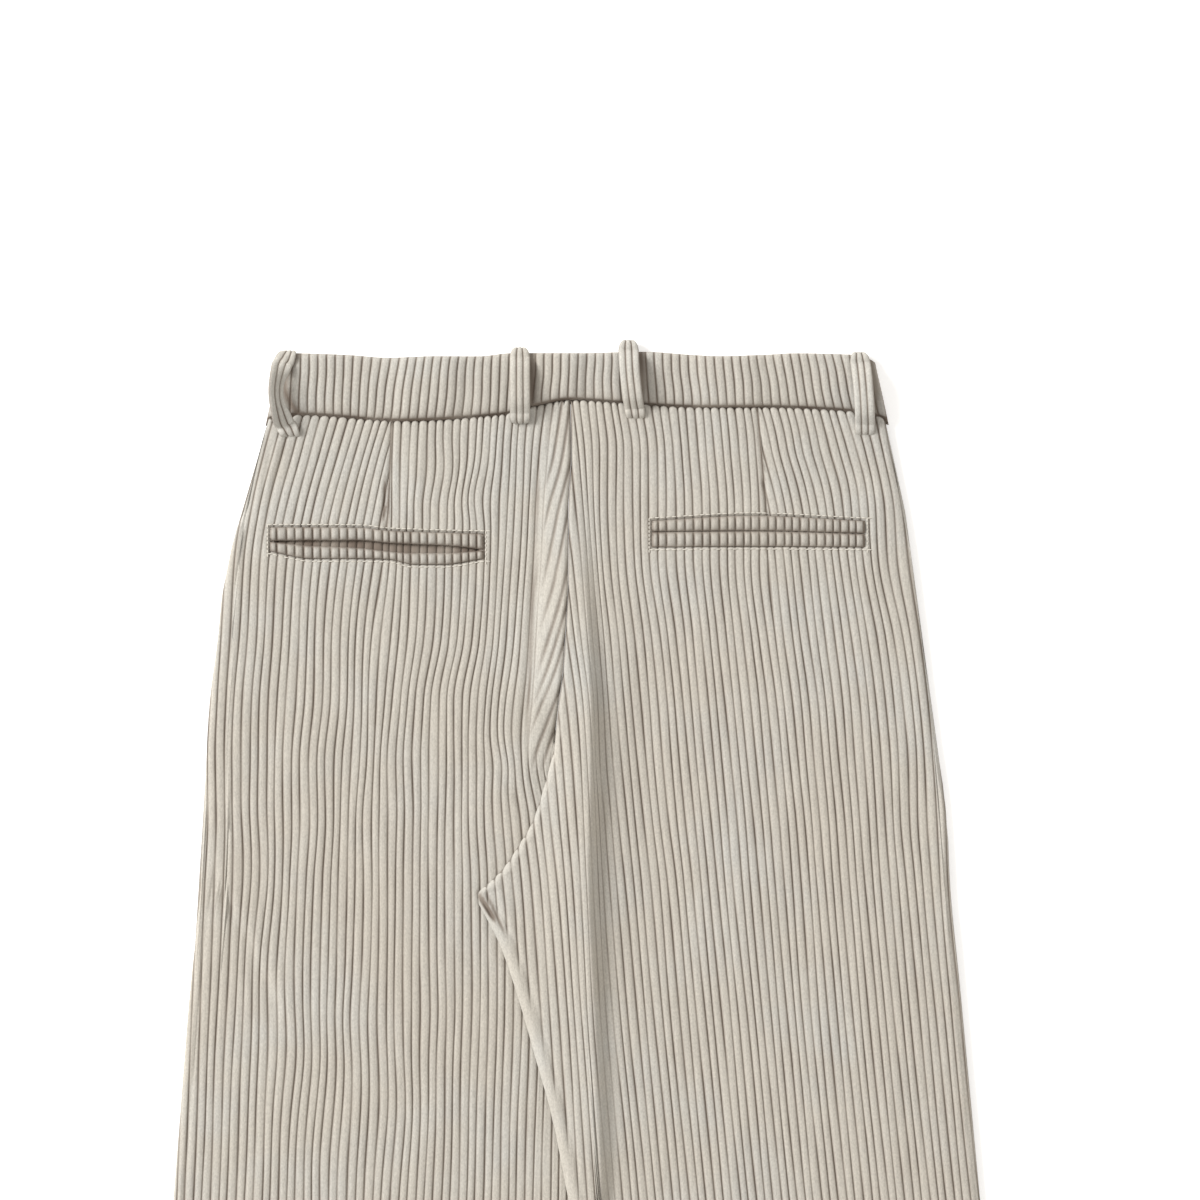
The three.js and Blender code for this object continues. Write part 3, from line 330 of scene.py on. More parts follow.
# Wales pushed aside, most of all under the band left of the seat and beside the left pocket
WANDER = table("across down wide long push", [
    [-88, 80, 13, 17, 2.2],
    [-66, 96, 12, 17, -2.4],
    [-102, 102, 12, 14, -1.2],
    [-80, 114, 14, 12, 1.0],
    [148, 66, 18, 16, -1.2],
    [180, 88, 18, 16, 1.0],
    [-44, 236, 14, 26, -2.4],
    [-52, 276, 13, 16, 3.2],
    [-62, 318, 14, 26, -1.2],
    [-218, 345, 16, 32, 2.4],
    [-204, 412, 16, 34, -2.0],
    [-160, 250, 26, 60, 1.6],
    [-110, 420, 26, 60, -1.4],
    [60, 150, 22, 40, -1.2],
    [-46, 372, 9, 12, 1.6],
    [-186, 470, 20, 28, 1.8],
    [-150, 446, 20, 24, -1.6],
    [-120, 505, 22, 32, 1.5],
    [-172, 540, 20, 32, -1.4],
    [-96, 440, 18, 26, 1.2],
])

# The edges of a pocket's mouth and of the lips above and below it
LEFT_POCKET = table("across top mouth_top mouth_bottom bottom", [
    [-205, 117, 126, 126.7, 132.7], [-177, 117, 125.6, 129.3, 137.7], [-145, 117.3, 125.6, 130.7, 137.7],
    [-126, 119.3, 127.3, 133, 138.2], [-109, 120, 128.2, 134, 141.5], [-90, 120.6, 128.8, 134, 141.5],
    [-63, 121.3, 131.8, 132.5, 137.7],
])
RIGHT_POCKET = table("across top mouth_top mouth_bottom bottom", [
    [49, 112.7, 119.8, 120.2, 130], [115, 109.3, 119.2, 119.6, 129.5], [191, 112.7, 121, 121.4, 130],
])

# Belt loops that show: ends and middle on the cloth, height off it and tilt to the side
BACK_LOOPS = {
    "loop_side_left": dict(top=(-192, 1), middle=-201, foot=(-190.5, 55), stand_off=7, tilt=-0.85),
    "loop_centre_left": dict(top=(-38.7, -1), middle=-38.5, foot=(-38.5, 46), stand_off=5.8, tilt=0),
    "loop_centre_right": dict(top=(33.5, -6), middle=35, foot=(38.5, 43), stand_off=7.5, tilt=0.12),
    "loop_side_right": dict(top=(187, 2), middle=190, foot=(191, 54), stand_off=6.5, tilt=0.2),
}
FRONT_LOOPS = {"loop_front_left": -100.0, "loop_front_right": 100.0}
LOOP_ARCH = table("share off", [
    [0, 0], [0.1, 0.02], [0.17, 0.35], [0.26, 0.8], [0.38, 0.98], [0.5, 1], [0.62, 0.98], [0.74, 0.8],
    [0.83, 0.35], [0.9, 0.02], [1, 0],
])

# The section of one wale: places between two grooves and how much of the rise each has
WALE_SECTION = table("place pile", [
    [0, 0], [0.07, 0.55], [0.22, 0.97], [0.5, 0.92], [0.78, 0.95], [0.93, 0.5],
])


def curve(x, y, runs_on=False):
    """A smooth curve through points, which never overshoots them. Past its ends it holds its last value,
    or runs straight on."""
    chord = np.diff(y) / np.diff(x)
    product = chord[:-1] * chord[1:]
    total = np.where(product > 0, chord[:-1] + chord[1:], 1.0)
    slope = np.concatenate([chord[:1], np.where(product > 0, 2 * product / total, 0.0), chord[-1:]])

    def at(place):
        place = np.asarray(place, float)
        inside = np.clip(place, x[0], x[-1])
        i = np.clip(np.searchsorted(x, inside) - 1, 0, len(x) - 2)
        span = x[i + 1] - x[i]
        t = (inside - x[i]) / span
        value = y[i] + (y[i + 1] - y[i]) * t * t * (3 - 2 * t)
        value = value + span * (t * (1 - t) ** 2 * slope[i] - t * t * (1 - t) * slope[i + 1])
        if runs_on:
            before = np.minimum(place - x[0], 0) * slope[0]
            value = value + before + np.maximum(place - x[-1], 0) * slope[-1]
        return value

    return at


def line(rows, start, end):
    """A smooth curve through two columns of a table."""
    return curve(rows[start].astype(float), rows[end].astype(float))


def joined(first, second):
    """One table from two that have the same columns."""
    return {name: np.concatenate([first[name], second[name]]) for name in first}


def smooth(start, end, at):
    t = np.clip((at - start) / (end - start), 0, 1)
    return t * t * (3 - 2 * t)


def bell(offset, width):
    return np.exp(-((offset / width) ** 2))


waist_top = line(WAIST_TOP, "across", "down")
waist_seam = line(WAIST_SEAM, "across", "down")
seat_seam = line(SEAT_SEAM, "down", "across")
inseam = line(joined(SEAT_SEAM, FORK_AND_INSEAM), "down", "across")
hidden_inseam = line(joined(SEAT_SEAM, HIDDEN_INSEAM), "down", "across")
left_side = line(LEFT_SIDE, "down", "across")
right_side = line(RIGHT_SIDE, "down", "across")
left_dart = line(LEFT_DART, "down", "across")
right_dart = line(RIGHT_DART, "down", "across")
ridge = {name: line(RIGHT_RIDGE, "down", name) for name in ("drop", "rest", "under", "puff")}
left_under = line(LEFT_RIDGE, "down", "under")
left_puff = line(LEFT_RIDGE, "down", "puff")
rib_section = curve(np.append(WALE_SECTION["place"], 1.0), np.append(WALE_SECTION["pile"], 0.0))


def right_lift(across, down):
    edge = ridge["drop"](down) - RIDGE_HALF_DROP
    crown = np.where(across < edge, bell(edge - across, RIDGE_WIDTH), 1.0)
    full = 1 - smooth(edge, edge + 2 * RIDGE_HALF_DROP, across)
    return full * (ridge["rest"](down) + (ridge["under"](down) - ridge["rest"](down)) * crown)


def right_puff(across, down):
    edge = ridge["drop"](down) - RIDGE_HALF_DROP
    crown = np.where(across < edge, bell(edge - across, RIDGE_WIDTH), 1.0)
    fallen = smooth(edge, edge + 2 * RIDGE_HALF_DROP, across)
    fade = bell(np.maximum(0, across - ridge["drop"](down) - RIDGE_HALF_DROP), RIDGE_TAIL_WIDTH)
    puff = ridge["puff"](down)
    return puff * (1 - fallen) * crown + np.minimum(1, puff) * RIDGE_TAIL * fallen * fade


def left_share(across, down):
    return bell(np.maximum(0, seat_seam(down) - across), LEFT_RIDGE_WIDTH)


def fold_height(folds, across, down):
    """The sum of the folds of one table at a place."""
    height = np.zeros(np.broadcast(across, down).shape)
    for k in range(len(folds["width"])):
        along_across = folds["to_across"][k] - folds["from_across"][k]
        along_down = folds["to_down"][k] - folds["from_down"][k]
        length = math.hypot(along_across, along_down)
        off_across = across - folds["from_across"][k]
        off_down = down - folds["from_down"][k]
        share = (off_across * along_across + off_down * along_down) / length**2
        aside = (off_across * along_down - off_down * along_across) / length
        ends = smooth(-0.15, 0.25, share) * (1 - smooth(0.75, 1.15, share))
        height = height + folds["height"][k] * ends * bell(aside, folds["width"][k])
    return height


def pocket_share(rows, across, down):
    """How much of the cloth's puff round a pocket reaches a place."""
    first, last = rows["across"][0], rows["across"][-1]
    near = smooth(first - 25, first, across) * (1 - smooth(last, last + 25, across))
    high = smooth(rows["top"][0] - 25, rows["top"][0] - 5, down)
    low = 1 - smooth(rows["bottom"][0] + 8, rows["bottom"][0] + 40, down)
    return near * high * low


def pocket_sink(rows, across, down):
    """How far the cloth lies lower under a pocket's lips, none outside the stitches round them."""
    first, last = rows["across"][0], rows["across"][-1]
    top = line(rows, "across", "top")(across)
    bottom = line(rows, "across", "bottom")(across)
    sides = smooth(first - SINK_SLOPE, first, across) * (1 - smooth(last, last + SINK_SLOPE, across))
    below_top = smooth(top - SINK_SLOPE, top, down)
    above_bottom = 1 - smooth(bottom, bottom + SINK_SLOPE, down)
    return POCKET_SINK * sides * below_top * above_bottom


class Leg:
    """One leg: its outline, its grain and how high its layers lie."""

    def __init__(self, name, rows, guides, dart, side, edge, wales, lift, puff, pocket):
        self.name = name
        self.rows = rows
        self.guides = guides
        self.dart = dart
        self.side = side
        self.edge = edge
        self.wales = wales
        self.lift = lift
        self.puff = puff
        self.pocket = pocket
        self.is_left = name == "left"
        self.seam_in = SIDE_SEAM_IN[name]

    def first_edge(self, down):
        return self.side(down) if self.is_left else self.edge(down) + GAP / 2

    def last_edge(self, down):
        return self.edge(down) - GAP / 2 if self.is_left else self.side(down)

    def off_side(self, across, down):
        return across - self.side(down) if self.is_left else self.side(down) - across

    def off_inseam(self, across, down):
        return self.edge(down) - across if self.is_left else across - self.edge(down)


LEFT = Leg(
    "left", LEFT_GRAIN, LEFT_GUIDES, left_dart, left_side, hidden_inseam, (-1, LEFT_LAST_WALE),
    lambda across, down: left_under(down) * left_share(across, down),
    lambda across, down: left_puff(down) * left_share(across, down),
    LEFT_POCKET,
)
RIGHT = Leg(
    "right", RIGHT_GRAIN, RIGHT_GUIDES, right_dart, right_side, inseam, (-19, 40),
    right_lift, right_puff, RIGHT_POCKET,
)


def rounded(offset, width=EDGE_ROUND):
    """A quarter round from an edge up to the flat part beside it."""
    t = np.clip(offset / width, 0, 1)
    return np.sqrt(1 - (1 - t) ** 2)


def layers(leg, across, down):
    """Heights of one leg at a place: the table side of its front panel, that panel's upper side, the
    inside of its back panel and the ground of the back panel's face, and how far the edges are round."""
    under = leg.lift(across, down)
    front_top = under + FRONT_CLOTH
    fork = smooth(FORK_START, FORK_END, down)
    inner_round = 1 - fork + fork * rounded(leg.off_inseam(across, down))
    hem_round = rounded((HEM_DOWN - down) * (EDGE_ROUND / HEM_PRESS))
    edge_round = np.minimum(np.minimum(rounded(leg.off_side(across, down)), inner_round), hem_round)
    pockets = np.maximum(pocket_share(LEFT_POCKET, across, down), pocket_share(RIGHT_POCKET, across, down))
    soft = LOFT + leg.puff(across, down) + POCKET_PUFF * pockets + fold_height(FOLDS, across, down)
    inner = front_top + GAP + np.maximum(0, soft) * edge_round
    face = inner + EDGE_CLOTH + (CLOTH - EDGE_CLOTH) * edge_round
    return under, front_top, inner, face, edge_round


def fine_relief(leg, across, down):
    """What the looks add to the face: creases, ditches at the seams and the cloth sunk at the pocket."""
    _, _, _, _, edge_round = layers(leg, across, down)
    relief = (fold_height(CREASES, across, down) + fold_height(SLITS, across, down)) * edge_round
    fork = smooth(FORK_START, FORK_END, down)
    seam = (1 - fork) * bell(leg.off_inseam(across, down), SEAM_DITCH_WIDTH)
    tuck = bell(across - leg.dart(down), SEAM_DITCH_WIDTH) * (1 - smooth(DART_END - 22, DART_END, down))
    relief = relief - SEAM_DITCH * np.maximum(seam, tuck)
    ripple = np.sin(across / 11 + 2 * np.sin(down / 47)) * np.sin(down / 31 + across / 29)
    relief = relief + CLOTH_RIPPLE * ripple * edge_round
    side_seam = bell(leg.off_side(across, down) - leg.seam_in, SIDE_SEAM_WIDTH)
    relief = relief - SIDE_SEAM_DITCH * side_seam * smooth(SIDE_SEAM_START, SIDE_SEAM_END, down)
    return relief - pocket_sink(leg.pocket, across, down)


def seat_wale_pile(across, down):
    """Pile of the left panel's wales that leave the seat seam at a slant, from 0 in a groove to 1."""
    off = np.maximum(0, seat_seam(down) - across)
    lean = np.radians(line(SEAT_WALES, "start", "lean")(down))
    start = down - off / np.tan(lean)
    count = np.arange(len(SEAT_WALES["start"]), dtype=float)
    number = curve(SEAT_WALES["start"].astype(float), count, runs_on=True)(start)
    spacing = np.interp(start, SEAT_WALES["start"][:-1], np.diff(SEAT_WALES["start"]))
    aside = np.abs(number - np.round(number)) * spacing * np.sin(lean)
    fade = 1 - smooth(SEAT_WALE_REACH[0], SEAT_WALE_REACH[1], off)
    return 1 - SEAT_WALE_DEPTH * fade * bell(aside, SEAT_WALE_GROOVE)


# The levels at which the paths of the wales are worked out
LEVELS = np.arange(28.0, HEM_DOWN + 0.5, 0.5)


def wandered(leg, across, down):
    """Where wales that are not quite straight run: pushed aside here and there, and all a little uneven."""
    room = np.minimum(across - leg.first_edge(down), leg.last_edge(down) - across)
    free = smooth(0, WANDER_ROOM, room) * smooth(WANDER_START, WANDER_FULL, down)
    if not leg.is_left:
        free = free * (1 - STRAIGHTER * smooth(STRAIGHT_START, STRAIGHT_FULL, down))
    aside = 0.35 * np.sin(down / 41 + across / 31) + 0.25 * np.sin(down / 19 - across / 23 + 1)
    for k in range(len(WANDER["push"])):
        near = bell(across - WANDER["across"][k], WANDER["wide"][k])
        aside = aside + WANDER["push"][k] * near * bell(down - WANDER["down"][k], WANDER["long"][k])
    return across + free * aside


def wale_paths(leg, wales):
    """How far across each wale lies at each of the levels."""
    names = list(leg.guides)
    split = names.index("dartRight")
    guide_across = {
        name: curve(leg.rows["down"].astype(float), leg.rows[name].astype(float), runs_on=True)(LEVELS)
        for name in names
    }
    paths = np.empty((len(wales), len(LEVELS)))
    before_dart = wales <= DART_WALE
    for family, chosen in ((names[:split], before_dart), (names[split:], ~before_dart)):
        numbers = np.array([leg.guides[name] for name in family], float)
        across = np.array([guide_across[name] for name in family])
        for k in range(len(LEVELS)):
            paths[chosen, k] = curve(numbers, across[:, k], runs_on=True)(wales[chosen])
    uneven = np.sin(2.4 * wales[:, None] + LEVELS / 61) + 0.6 * np.sin(1.1 * wales[:, None] - LEVELS / 37)
    paths = wandered(leg, paths, LEVELS[None, :]) + WALE_UNEVEN * uneven
    tucked = leg.dart(LEVELS)[None, :] + DART_TUCK * (wales[:, None] - DART_WALE)
    squeezed = np.where(before_dart[:, None], np.minimum(paths, tucked), np.maximum(paths, tucked))
    paths = np.where(LEVELS[None, :] < DART_END, squeezed, paths)
    if leg.is_left:
        limit = leg.last_edge(LEVELS)[None, :] - EDGE_STEP * (LEFT_LAST_WALE - wales[:, None])
        paths = np.minimum(paths, limit)
    return paths


def wale_ends(leg, path):
    """The first and last level of the longest stretch of a wale that lies inside its panel."""
    inside = np.minimum(path - leg.first_edge(LEVELS), leg.last_edge(LEVELS) - path)
    inside = np.minimum(inside, LEVELS - waist_seam(path) - WAIST_GAP)
    within = inside >= -1e-9
    edges = np.flatnonzero(np.diff(np.concatenate([[0], within.astype(int), [0]])))
    starts, stops = edges[::2], edges[1::2] - 1
    if len(starts) == 0:
        return None
    longest = np.argmax(stops - starts)
    first, last = starts[longest], stops[longest]
    top, bottom = LEVELS[first], LEVELS[last]
    if first > 0:
        top -= 0.5 * inside[first] / (inside[first] - inside[first - 1])
    if last < len(LEVELS) - 1:
        bottom += 0.5 * inside[last] / (inside[last] - inside[last + 1])
    return top, bottom


def row_levels(spacings):
    """Levels from the waist seam to the hem, from (end, spacing) stretches."""
    levels = [33.0]
    for end, spacing in spacings:
        count = max(1, round((end - levels[-1]) / spacing))
        levels += list(np.linspace(levels[-1], end, count + 1)[1:])
    return np.array(levels)


BACK_ROWS = {
    "left": row_levels([(36, 0.6), (40, 1), (104, 2.6), (146, 1.1), (600, 2.9), (1090, 12), (1125, 3.5)]),
    "right": row_levels([(36, 0.6), (40, 1), (100, 2.9), (138, 1.2), (600, 3.3), (1090, 14), (1125, 4)]),
}
FRONT_ROWS = row_levels([(40, 1.5), (600, 7), (1090, 14), (1125, 4)])


def wale_grid(leg, section, levels, scallop=0.0):
    """The points of a panel, a column along each line of the section: their wale numbers, pile, places
    and how much of its full pile the squeezed cloth has room for. A groove ends the scallop lower at the
    waist than a crest."""
    numbers = np.arange(leg.wales[0], leg.wales[1] + 1)
    wales = (numbers[:, None] + section["place"][None, :]).ravel()
    if leg.is_left and scallop:
        fine = np.arange(FIRST_SEAT_WALE * 12, LAST_SEAT_WALE * 12) / 12
        wales = np.concatenate([wales[wales < FIRST_SEAT_WALE], fine, wales[wales >= LAST_SEAT_WALE]])
    wales = wales[wales <= leg.wales[1]]
    paths = wale_paths(leg, wales)
    pitches = np.gradient(paths, wales, axis=0)
    shares = (levels - levels[0]) / (levels[-1] - levels[0])
    columns = []
    for wale, path, pitch in zip(wales, paths, pitches):
        ends = wale_ends(leg, path)
        if ends is None or ends[1] - ends[0] < 4:
            continue
        pile = float(rib_section(wale % 1))
        start = ends[0] + scallop * (1 - math.sqrt(1 - (2 * (wale % 1) - 1) ** 2))
        down = start + (ends[1] - start) * shares
        room = np.clip(np.interp(down, LEVELS, pitch) / SQUEEZED_PITCH, 0, 1)
        across = np.interp(down, LEVELS, path)
        columns.append((np.full(len(down), wale), np.full(len(down), pile), across, down, room))
    return np.array(columns).transpose(1, 0, 2)


# Where the part's middle lies on the cloth, worked out from the waist button's place in the frame
button_low, button_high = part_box("waist_button")
SHIFT_ACROSS = (button_low.x + button_high.x) / 2 / MM - BUTTON_ACROSS
SHIFT_DOWN = (button_low.y + button_high.y) / 2 / MM + BUTTON_DOWN


def metres(across, down, height):
    """Points of the frame, in metres, from places on the cloth."""
    height = np.broadcast_to(height, across.shape)
    return np.stack([across + SHIFT_ACROSS, SHIFT_DOWN - down, height], -1) * MM


def added(name, data):
    """A new object in the scene."""
    thing = bpy.data.objects.new(name, data)
    bpy.context.scene.collection.objects.link(thing)
    return thing


def make_object(name, points, faces, pile=None, smooth_faces=True):
    """A mesh object from points in metres, faces and how much pile there is at each point, which also
    carries painted shade where a piece lowers it at seams, gaps and edges.
    """
    mesh = bpy.data.meshes.new(name)
    mesh.from_pydata(np.asarray(points).tolist(), [], faces)
    if pile is not None:
        attribute = mesh.attributes.new("pile", "FLOAT", "POINT")
        attribute.data.foreach_set("value", np.asarray(pile, np.float32))
    mesh.polygons.foreach_set("use_smooth", [smooth_faces] * len(mesh.polygons))
    mesh.validate()
    return added(name, mesh)


def grid_faces(numbers, upward):
    """Quads of a grid of point numbers, its columns from left to right and its rows downwards."""
    a, b = numbers[:-1, :-1].ravel(), numbers[:-1, 1:].ravel()
    c, d = numbers[1:, 1:].ravel(), numbers[1:, :-1].ravel()
    corners = np.stack([a, b, c, d] if upward else [d, c, b, a], -1)
    return corners.tolist()


def border(numbers):
    """The border of a grid, clockwise as seen from above, from its upper left corner."""
    parts = [numbers[:, 0], numbers[-1, 1:], numbers[::-1, -1][1:], numbers[0, ::-1][1:-1]]
    return np.concatenate(parts)


def skirt_faces(points, upper, lower):
    """Triangles between two closed borders, always by the shorter of the two next diagonals."""
    turn = np.argmin(np.linalg.norm(points[lower] - points[upper[0]], axis=1))
    lower = np.concatenate([lower[turn:], lower[:turn], lower[turn:turn + 1]])
    upper = np.append(upper, upper[0])
    spots = points.tolist()
    faces = []
    i = j = 0
    while i < len(upper) - 1 or j < len(lower) - 1:
        step_upper = j >= len(lower) - 1
        if not step_upper and i < len(upper) - 1:
            across_upper = math.dist(spots[upper[i + 1]], spots[lower[j]])
            step_upper = across_upper <= math.dist(spots[upper[i]], spots[lower[j + 1]])
        if step_upper:
            faces.append([int(upper[i]), int(upper[i + 1]), int(lower[j])])
            i += 1
        else:
            faces.append([int(upper[i]), int(lower[j + 1]), int(lower[j])])
            j += 1
    return faces


def shell(name, upper, lower, upper_pile_and_shade=INNER_PILE, lower_pile_and_shade=INNER_PILE):
    """One closed length of cloth between an upper and a lower grid of points, in metres, with the pile
    at the points of each, which on some pieces also carries painted shade."""
    points = np.concatenate([upper.reshape(-1, 3), lower.reshape(-1, 3)])
    upper_numbers = np.arange(upper.shape[0] * upper.shape[1]).reshape(upper.shape[:2])
    lower_numbers = np.arange(lower.shape[0] * lower.shape[1]).reshape(lower.shape[:2]) + upper_numbers.size
    faces = grid_faces(upper_numbers, True) + grid_faces(lower_numbers, False)
    faces += skirt_faces(points, border(upper_numbers), border(lower_numbers))
    piles = [
        np.broadcast_to(upper_pile_and_shade, upper_numbers.shape).ravel(),
        np.broadcast_to(lower_pile_and_shade, lower_numbers.shape).ravel(),
    ]
    return make_object(name, points, faces, np.concatenate(piles))


def laid(piece):
    """Hands back a piece of cloth that lies flat, as it is."""
    return piece


def panel_cut(leg):
    """Width, length and area of the cloth of a panel, from its outline."""
    top = float(waist_seam((leg.first_edge(LEVELS[0]) + leg.last_edge(LEVELS[0])) / 2))
    levels = LEVELS[LEVELS >= top]
    widths = leg.last_edge(levels) - leg.first_edge(levels)
    length = HEM_DOWN - top
    return widths.max(), length, widths.mean() * length


def strip_cut(rows, top_name, bottom_name, tuck=0.0):
    """Length, width and area of a strip of cloth at a pocket, from the edges in its table."""
    length = float(rows["across"][-1] - rows["across"][0])
    across = np.linspace(rows["across"][0], rows["across"][-1], 50)
    widths = line(rows, "across", bottom_name)(across) - line(rows, "across", top_name)(across) + 2 * tuck
    return length, widths.max(), widths.mean() * length


def thinned(count, step):
    """Every so many of a run of numbers, the first and the last among them."""
    return np.unique(np.append(np.arange(0, count, step), count - 1))


def inseam_edge(across, down):
    """How smooth the right leg's rolled inner edge is at a place, from 0 to 1, and how far it stands up.
    Above the crotch's tip the edge is a thin roll with puckers, and below it a flat band."""
    lean = (inseam(down + 1) - inseam(down - 1)) / 2
    off = (across - inseam(down)) / np.sqrt(1 + lean**2)
    below = smooth(TIP_DOWN - 2, TIP_DOWN + 14, down)
    above = smooth(ROLL_START, ROLL_FULL, down) * (1 - below)
    pucker = 0.5 + 0.5 * np.sin(down / 2.1 + 1.5 * np.sin(down / 9))
    roll = ROLL_WIDTH * (0.6 + 0.5 * pucker + 0.5 * smooth(*ROLL_SWELL, down))
    smoothness = above * (0.2 + 0.5 * pucker) * (1 - smooth(0.4 * roll, 1.8 * roll, off))
    smoothness = smoothness + below * (1 - smooth(0.7 * BAND_EDGE, 1.2 * BAND_EDGE, off))
    stand = above * (0.1 + 0.4 * pucker) * bell(off - 0.8 * roll, 0.8 * roll)
    band = bell(off - 0.5 * BAND_EDGE, 0.4 * BAND_EDGE) - bell(off - 1.25 * BAND_EDGE, 1.6)
    return smoothness, stand + 0.5 * below * band


def back_panel(leg):
    """The ribbed face of a back panel over its plain inside."""
    wale, pile, across, down, room = wale_grid(leg, WALE_SECTION, BACK_ROWS[leg.name], WAIST_SCALLOP)
    _, _, inner, face, edge_round = layers(leg, across, down)
    uneven = 0.93 + 0.05 * np.sin(1.7 * wale + down / 23) + 0.04 * np.sin(2.9 * wale - down / 11)
    filled = 0.16 + 0.17 * np.sin(1.3 * wale + down / 37) + 0.13 * np.sin(3.1 * wale - down / 17)
    if not leg.is_left:
        fall = bell(across - ridge["drop"](down), FALL_WIDTH) * smooth(FALL_START, FALL_FULL, down)
        filled = filled + FALL_SHARE * fall
    share = pile * room + (1 - room)
    share = share + (1 - share) * np.clip(filled, 0, MOST_FILLED)
    height = face + fine_relief(leg, across, down)
    fork = smooth(FORK_START, FORK_END, down)
    # Lines of painted shade along the seat seam and the dart.
    seam = (1 - fork) * bell(leg.off_inseam(across, down), SEAM_LINE)
    dart = bell(across - leg.dart(down), SEAM_LINE) * (1 - smooth(DART_END - 8, DART_END, down))
    if leg.is_left:
        beside_seam = smooth(FIRST_SEAT_WALE - 0.6, FIRST_SEAT_WALE + 0.4, wale)
        beside_seam = beside_seam * (1 - smooth(FORK_END, SEAT_WALES_END, down))
        share = share * (1 - beside_seam) + seat_wale_pile(across, down) * beside_seam
    else:
        smoothness, stand = inseam_edge(across, down)
        share = share + (ROLL_PILE - share) * smoothness
        height = height + stand * edge_round
    hem = smooth(0, 3, HEM_DOWN - down)
    at_waist = 1 - smooth(3, 8, down[:, :1] - waist_seam(across[:, :1]))
    off_waist = down - down[:, :1]
    waist = 1 - at_waist * (1 - rounded(off_waist, WAIST_ROUND))
    rise = WALE_RISE * uneven * (0.3 + 0.7 * edge_round) * (0.35 + 0.65 * waist) * (0.4 + 0.6 * hem)
    depth = GROOVE_DEPTH * edge_round
    height = height - WAIST_DROP * (1 - waist) + share * (rise + depth) - depth
    height = np.maximum(height, inner + 0.5)
    # Painted shade, carried in the tone: the colour darkens in the slits, in the sunk ditch round the pocket
    # and in the gap between the rib ends at the waist.
    slit = np.clip(-1.2 * fold_height(SLITS, across, down), 0, 1)
    sunk = 0.5 * (pocket_sink(leg.pocket, across, down) / POCKET_SINK) ** 3
    shaded = np.maximum.reduce([seam, dart, slit, sunk, at_waist * (1 - smooth(0, 0.8, off_waist))])
    tone = share * (1 - 0.8 * shaded)
    upper = metres(across, down, height)
    columns = np.unique(np.append(np.flatnonzero(wale[:, 0] % 1 == 0), [0, len(wale) - 1]))
    lower = metres(across, down, inner)[np.ix_(columns, thinned(across.shape[1], 4))]
    return shell(f"cord_back_{leg.name}", upper, lower, tone)


def cut_mouth(panel, rows):
    """Cuts a pocket's mouth through its panel, a little way in under each lip."""
    mouth_top = line(rows, "across", "mouth_top")
    mouth_bottom = line(rows, "across", "mouth_bottom")
    across = np.linspace(rows["across"][0] + 3, rows["across"][-1] - 3, 48)
    outline_across = np.concatenate([across, across[::-1]])
    outline_down = np.concatenate([mouth_bottom(across) + SLIT_TUCK, mouth_top(across[::-1]) - SLIT_TUCK])
    count = len(outline_across)
    low = metres(outline_across, outline_down, 0.5)
    high = metres(outline_across, outline_down, 30.0)
    faces = [list(range(count))[::-1], list(range(count, 2 * count))]
    for i in range(count):
        j = (i + 1) % count
        faces.append([i, j, count + j, count + i])
    cutter = make_object("pocket_mouth_cutter", np.concatenate([low, high]), faces)
    modifier = panel.modifiers.new("mouth", "BOOLEAN")
    modifier.operation = "DIFFERENCE"
    modifier.solver = "MANIFOLD"
    modifier.object = cutter
    apply_modifiers(panel)
    bpy.data.objects.remove(cutter)


def apply_modifiers(thing):
    """Replaces an object's mesh with what its modifiers make of it."""
    bpy.context.view_layer.update()
    evaluated = thing.evaluated_get(bpy.context.evaluated_depsgraph_get())
    mesh = bpy.data.meshes.new_from_object(evaluated)
    thing.modifiers.clear()
    thing.data = mesh


FRONT_SECTION = table("place pile", [[0, 0], [0.14, 0.75], [0.5, 1], [0.86, 0.75]])


def front_panel(leg):
    """A front panel, its ribs towards the table and its crests resting on it."""
    _, pile, across, down, room = wale_grid(leg, FRONT_SECTION, FRONT_ROWS)
    under, front_top, _, _, _ = layers(leg, across, down)
    share = pile * room + (1 - room)
    columns = thinned(across.shape[0], len(FRONT_SECTION["place"]))
    rows = thinned(across.shape[1], 2)
    top = metres(across, down, front_top)[np.ix_(columns, rows)]
    below = metres(across, down, under + (WALE_RISE + 0.2) * (1 - share))
    return shell(f"cord_front_{leg.name}", top, below, lower_pile_and_shade=share)


# Waistband

PRESS_SPREAD = 14.0
BUTTON_MARGIN = 6.0
BAND_SLANT = 8.0
BAND_TUCK = 0.8


def pressed_lift(across):
    """How far the band's underside is lifted over the button and the front loops."""
    def over(centre, half, thick):
        offset = np.abs(across - centre) - half
        return (thick + GAP) * (1 - smooth(0, PRESS_SPREAD, offset))

    lift = over(BUTTON_ACROSS, BUTTON_RADIUS + BUTTON_MARGIN, BUTTON_THICK)
    for centre in FRONT_LOOPS.values():
        lift = np.maximum(lift, over(centre, LOOP_WIDTH, LOOP_CLOTH + LOOP_RISE))
    return lift


def band_heights(across, share):
    """Heights of the waistband's layers: table side, front length's top, inside and face. Past its seam
    the cloth sinks between the panels."""
    reach = np.minimum(across - BAND_BOTTOM_ENDS[0], BAND_BOTTOM_ENDS[1] - across)
    end_round = rounded(reach - BAND_SLANT * (1 - share))
    sunk = smooth(1.0, 1.05, share)
    under = pressed_lift(across) * (1 - sunk)
    front_top = under + BAND_FRONT_CLOTH
    inner = front_top + GAP + BAND_LOFT * end_round * (1 - sunk) - BAND_TUCK * sunk
    return under, front_top, inner, inner + EDGE_CLOTH + (BAND_BACK_CLOTH - EDGE_CLOTH) * end_round


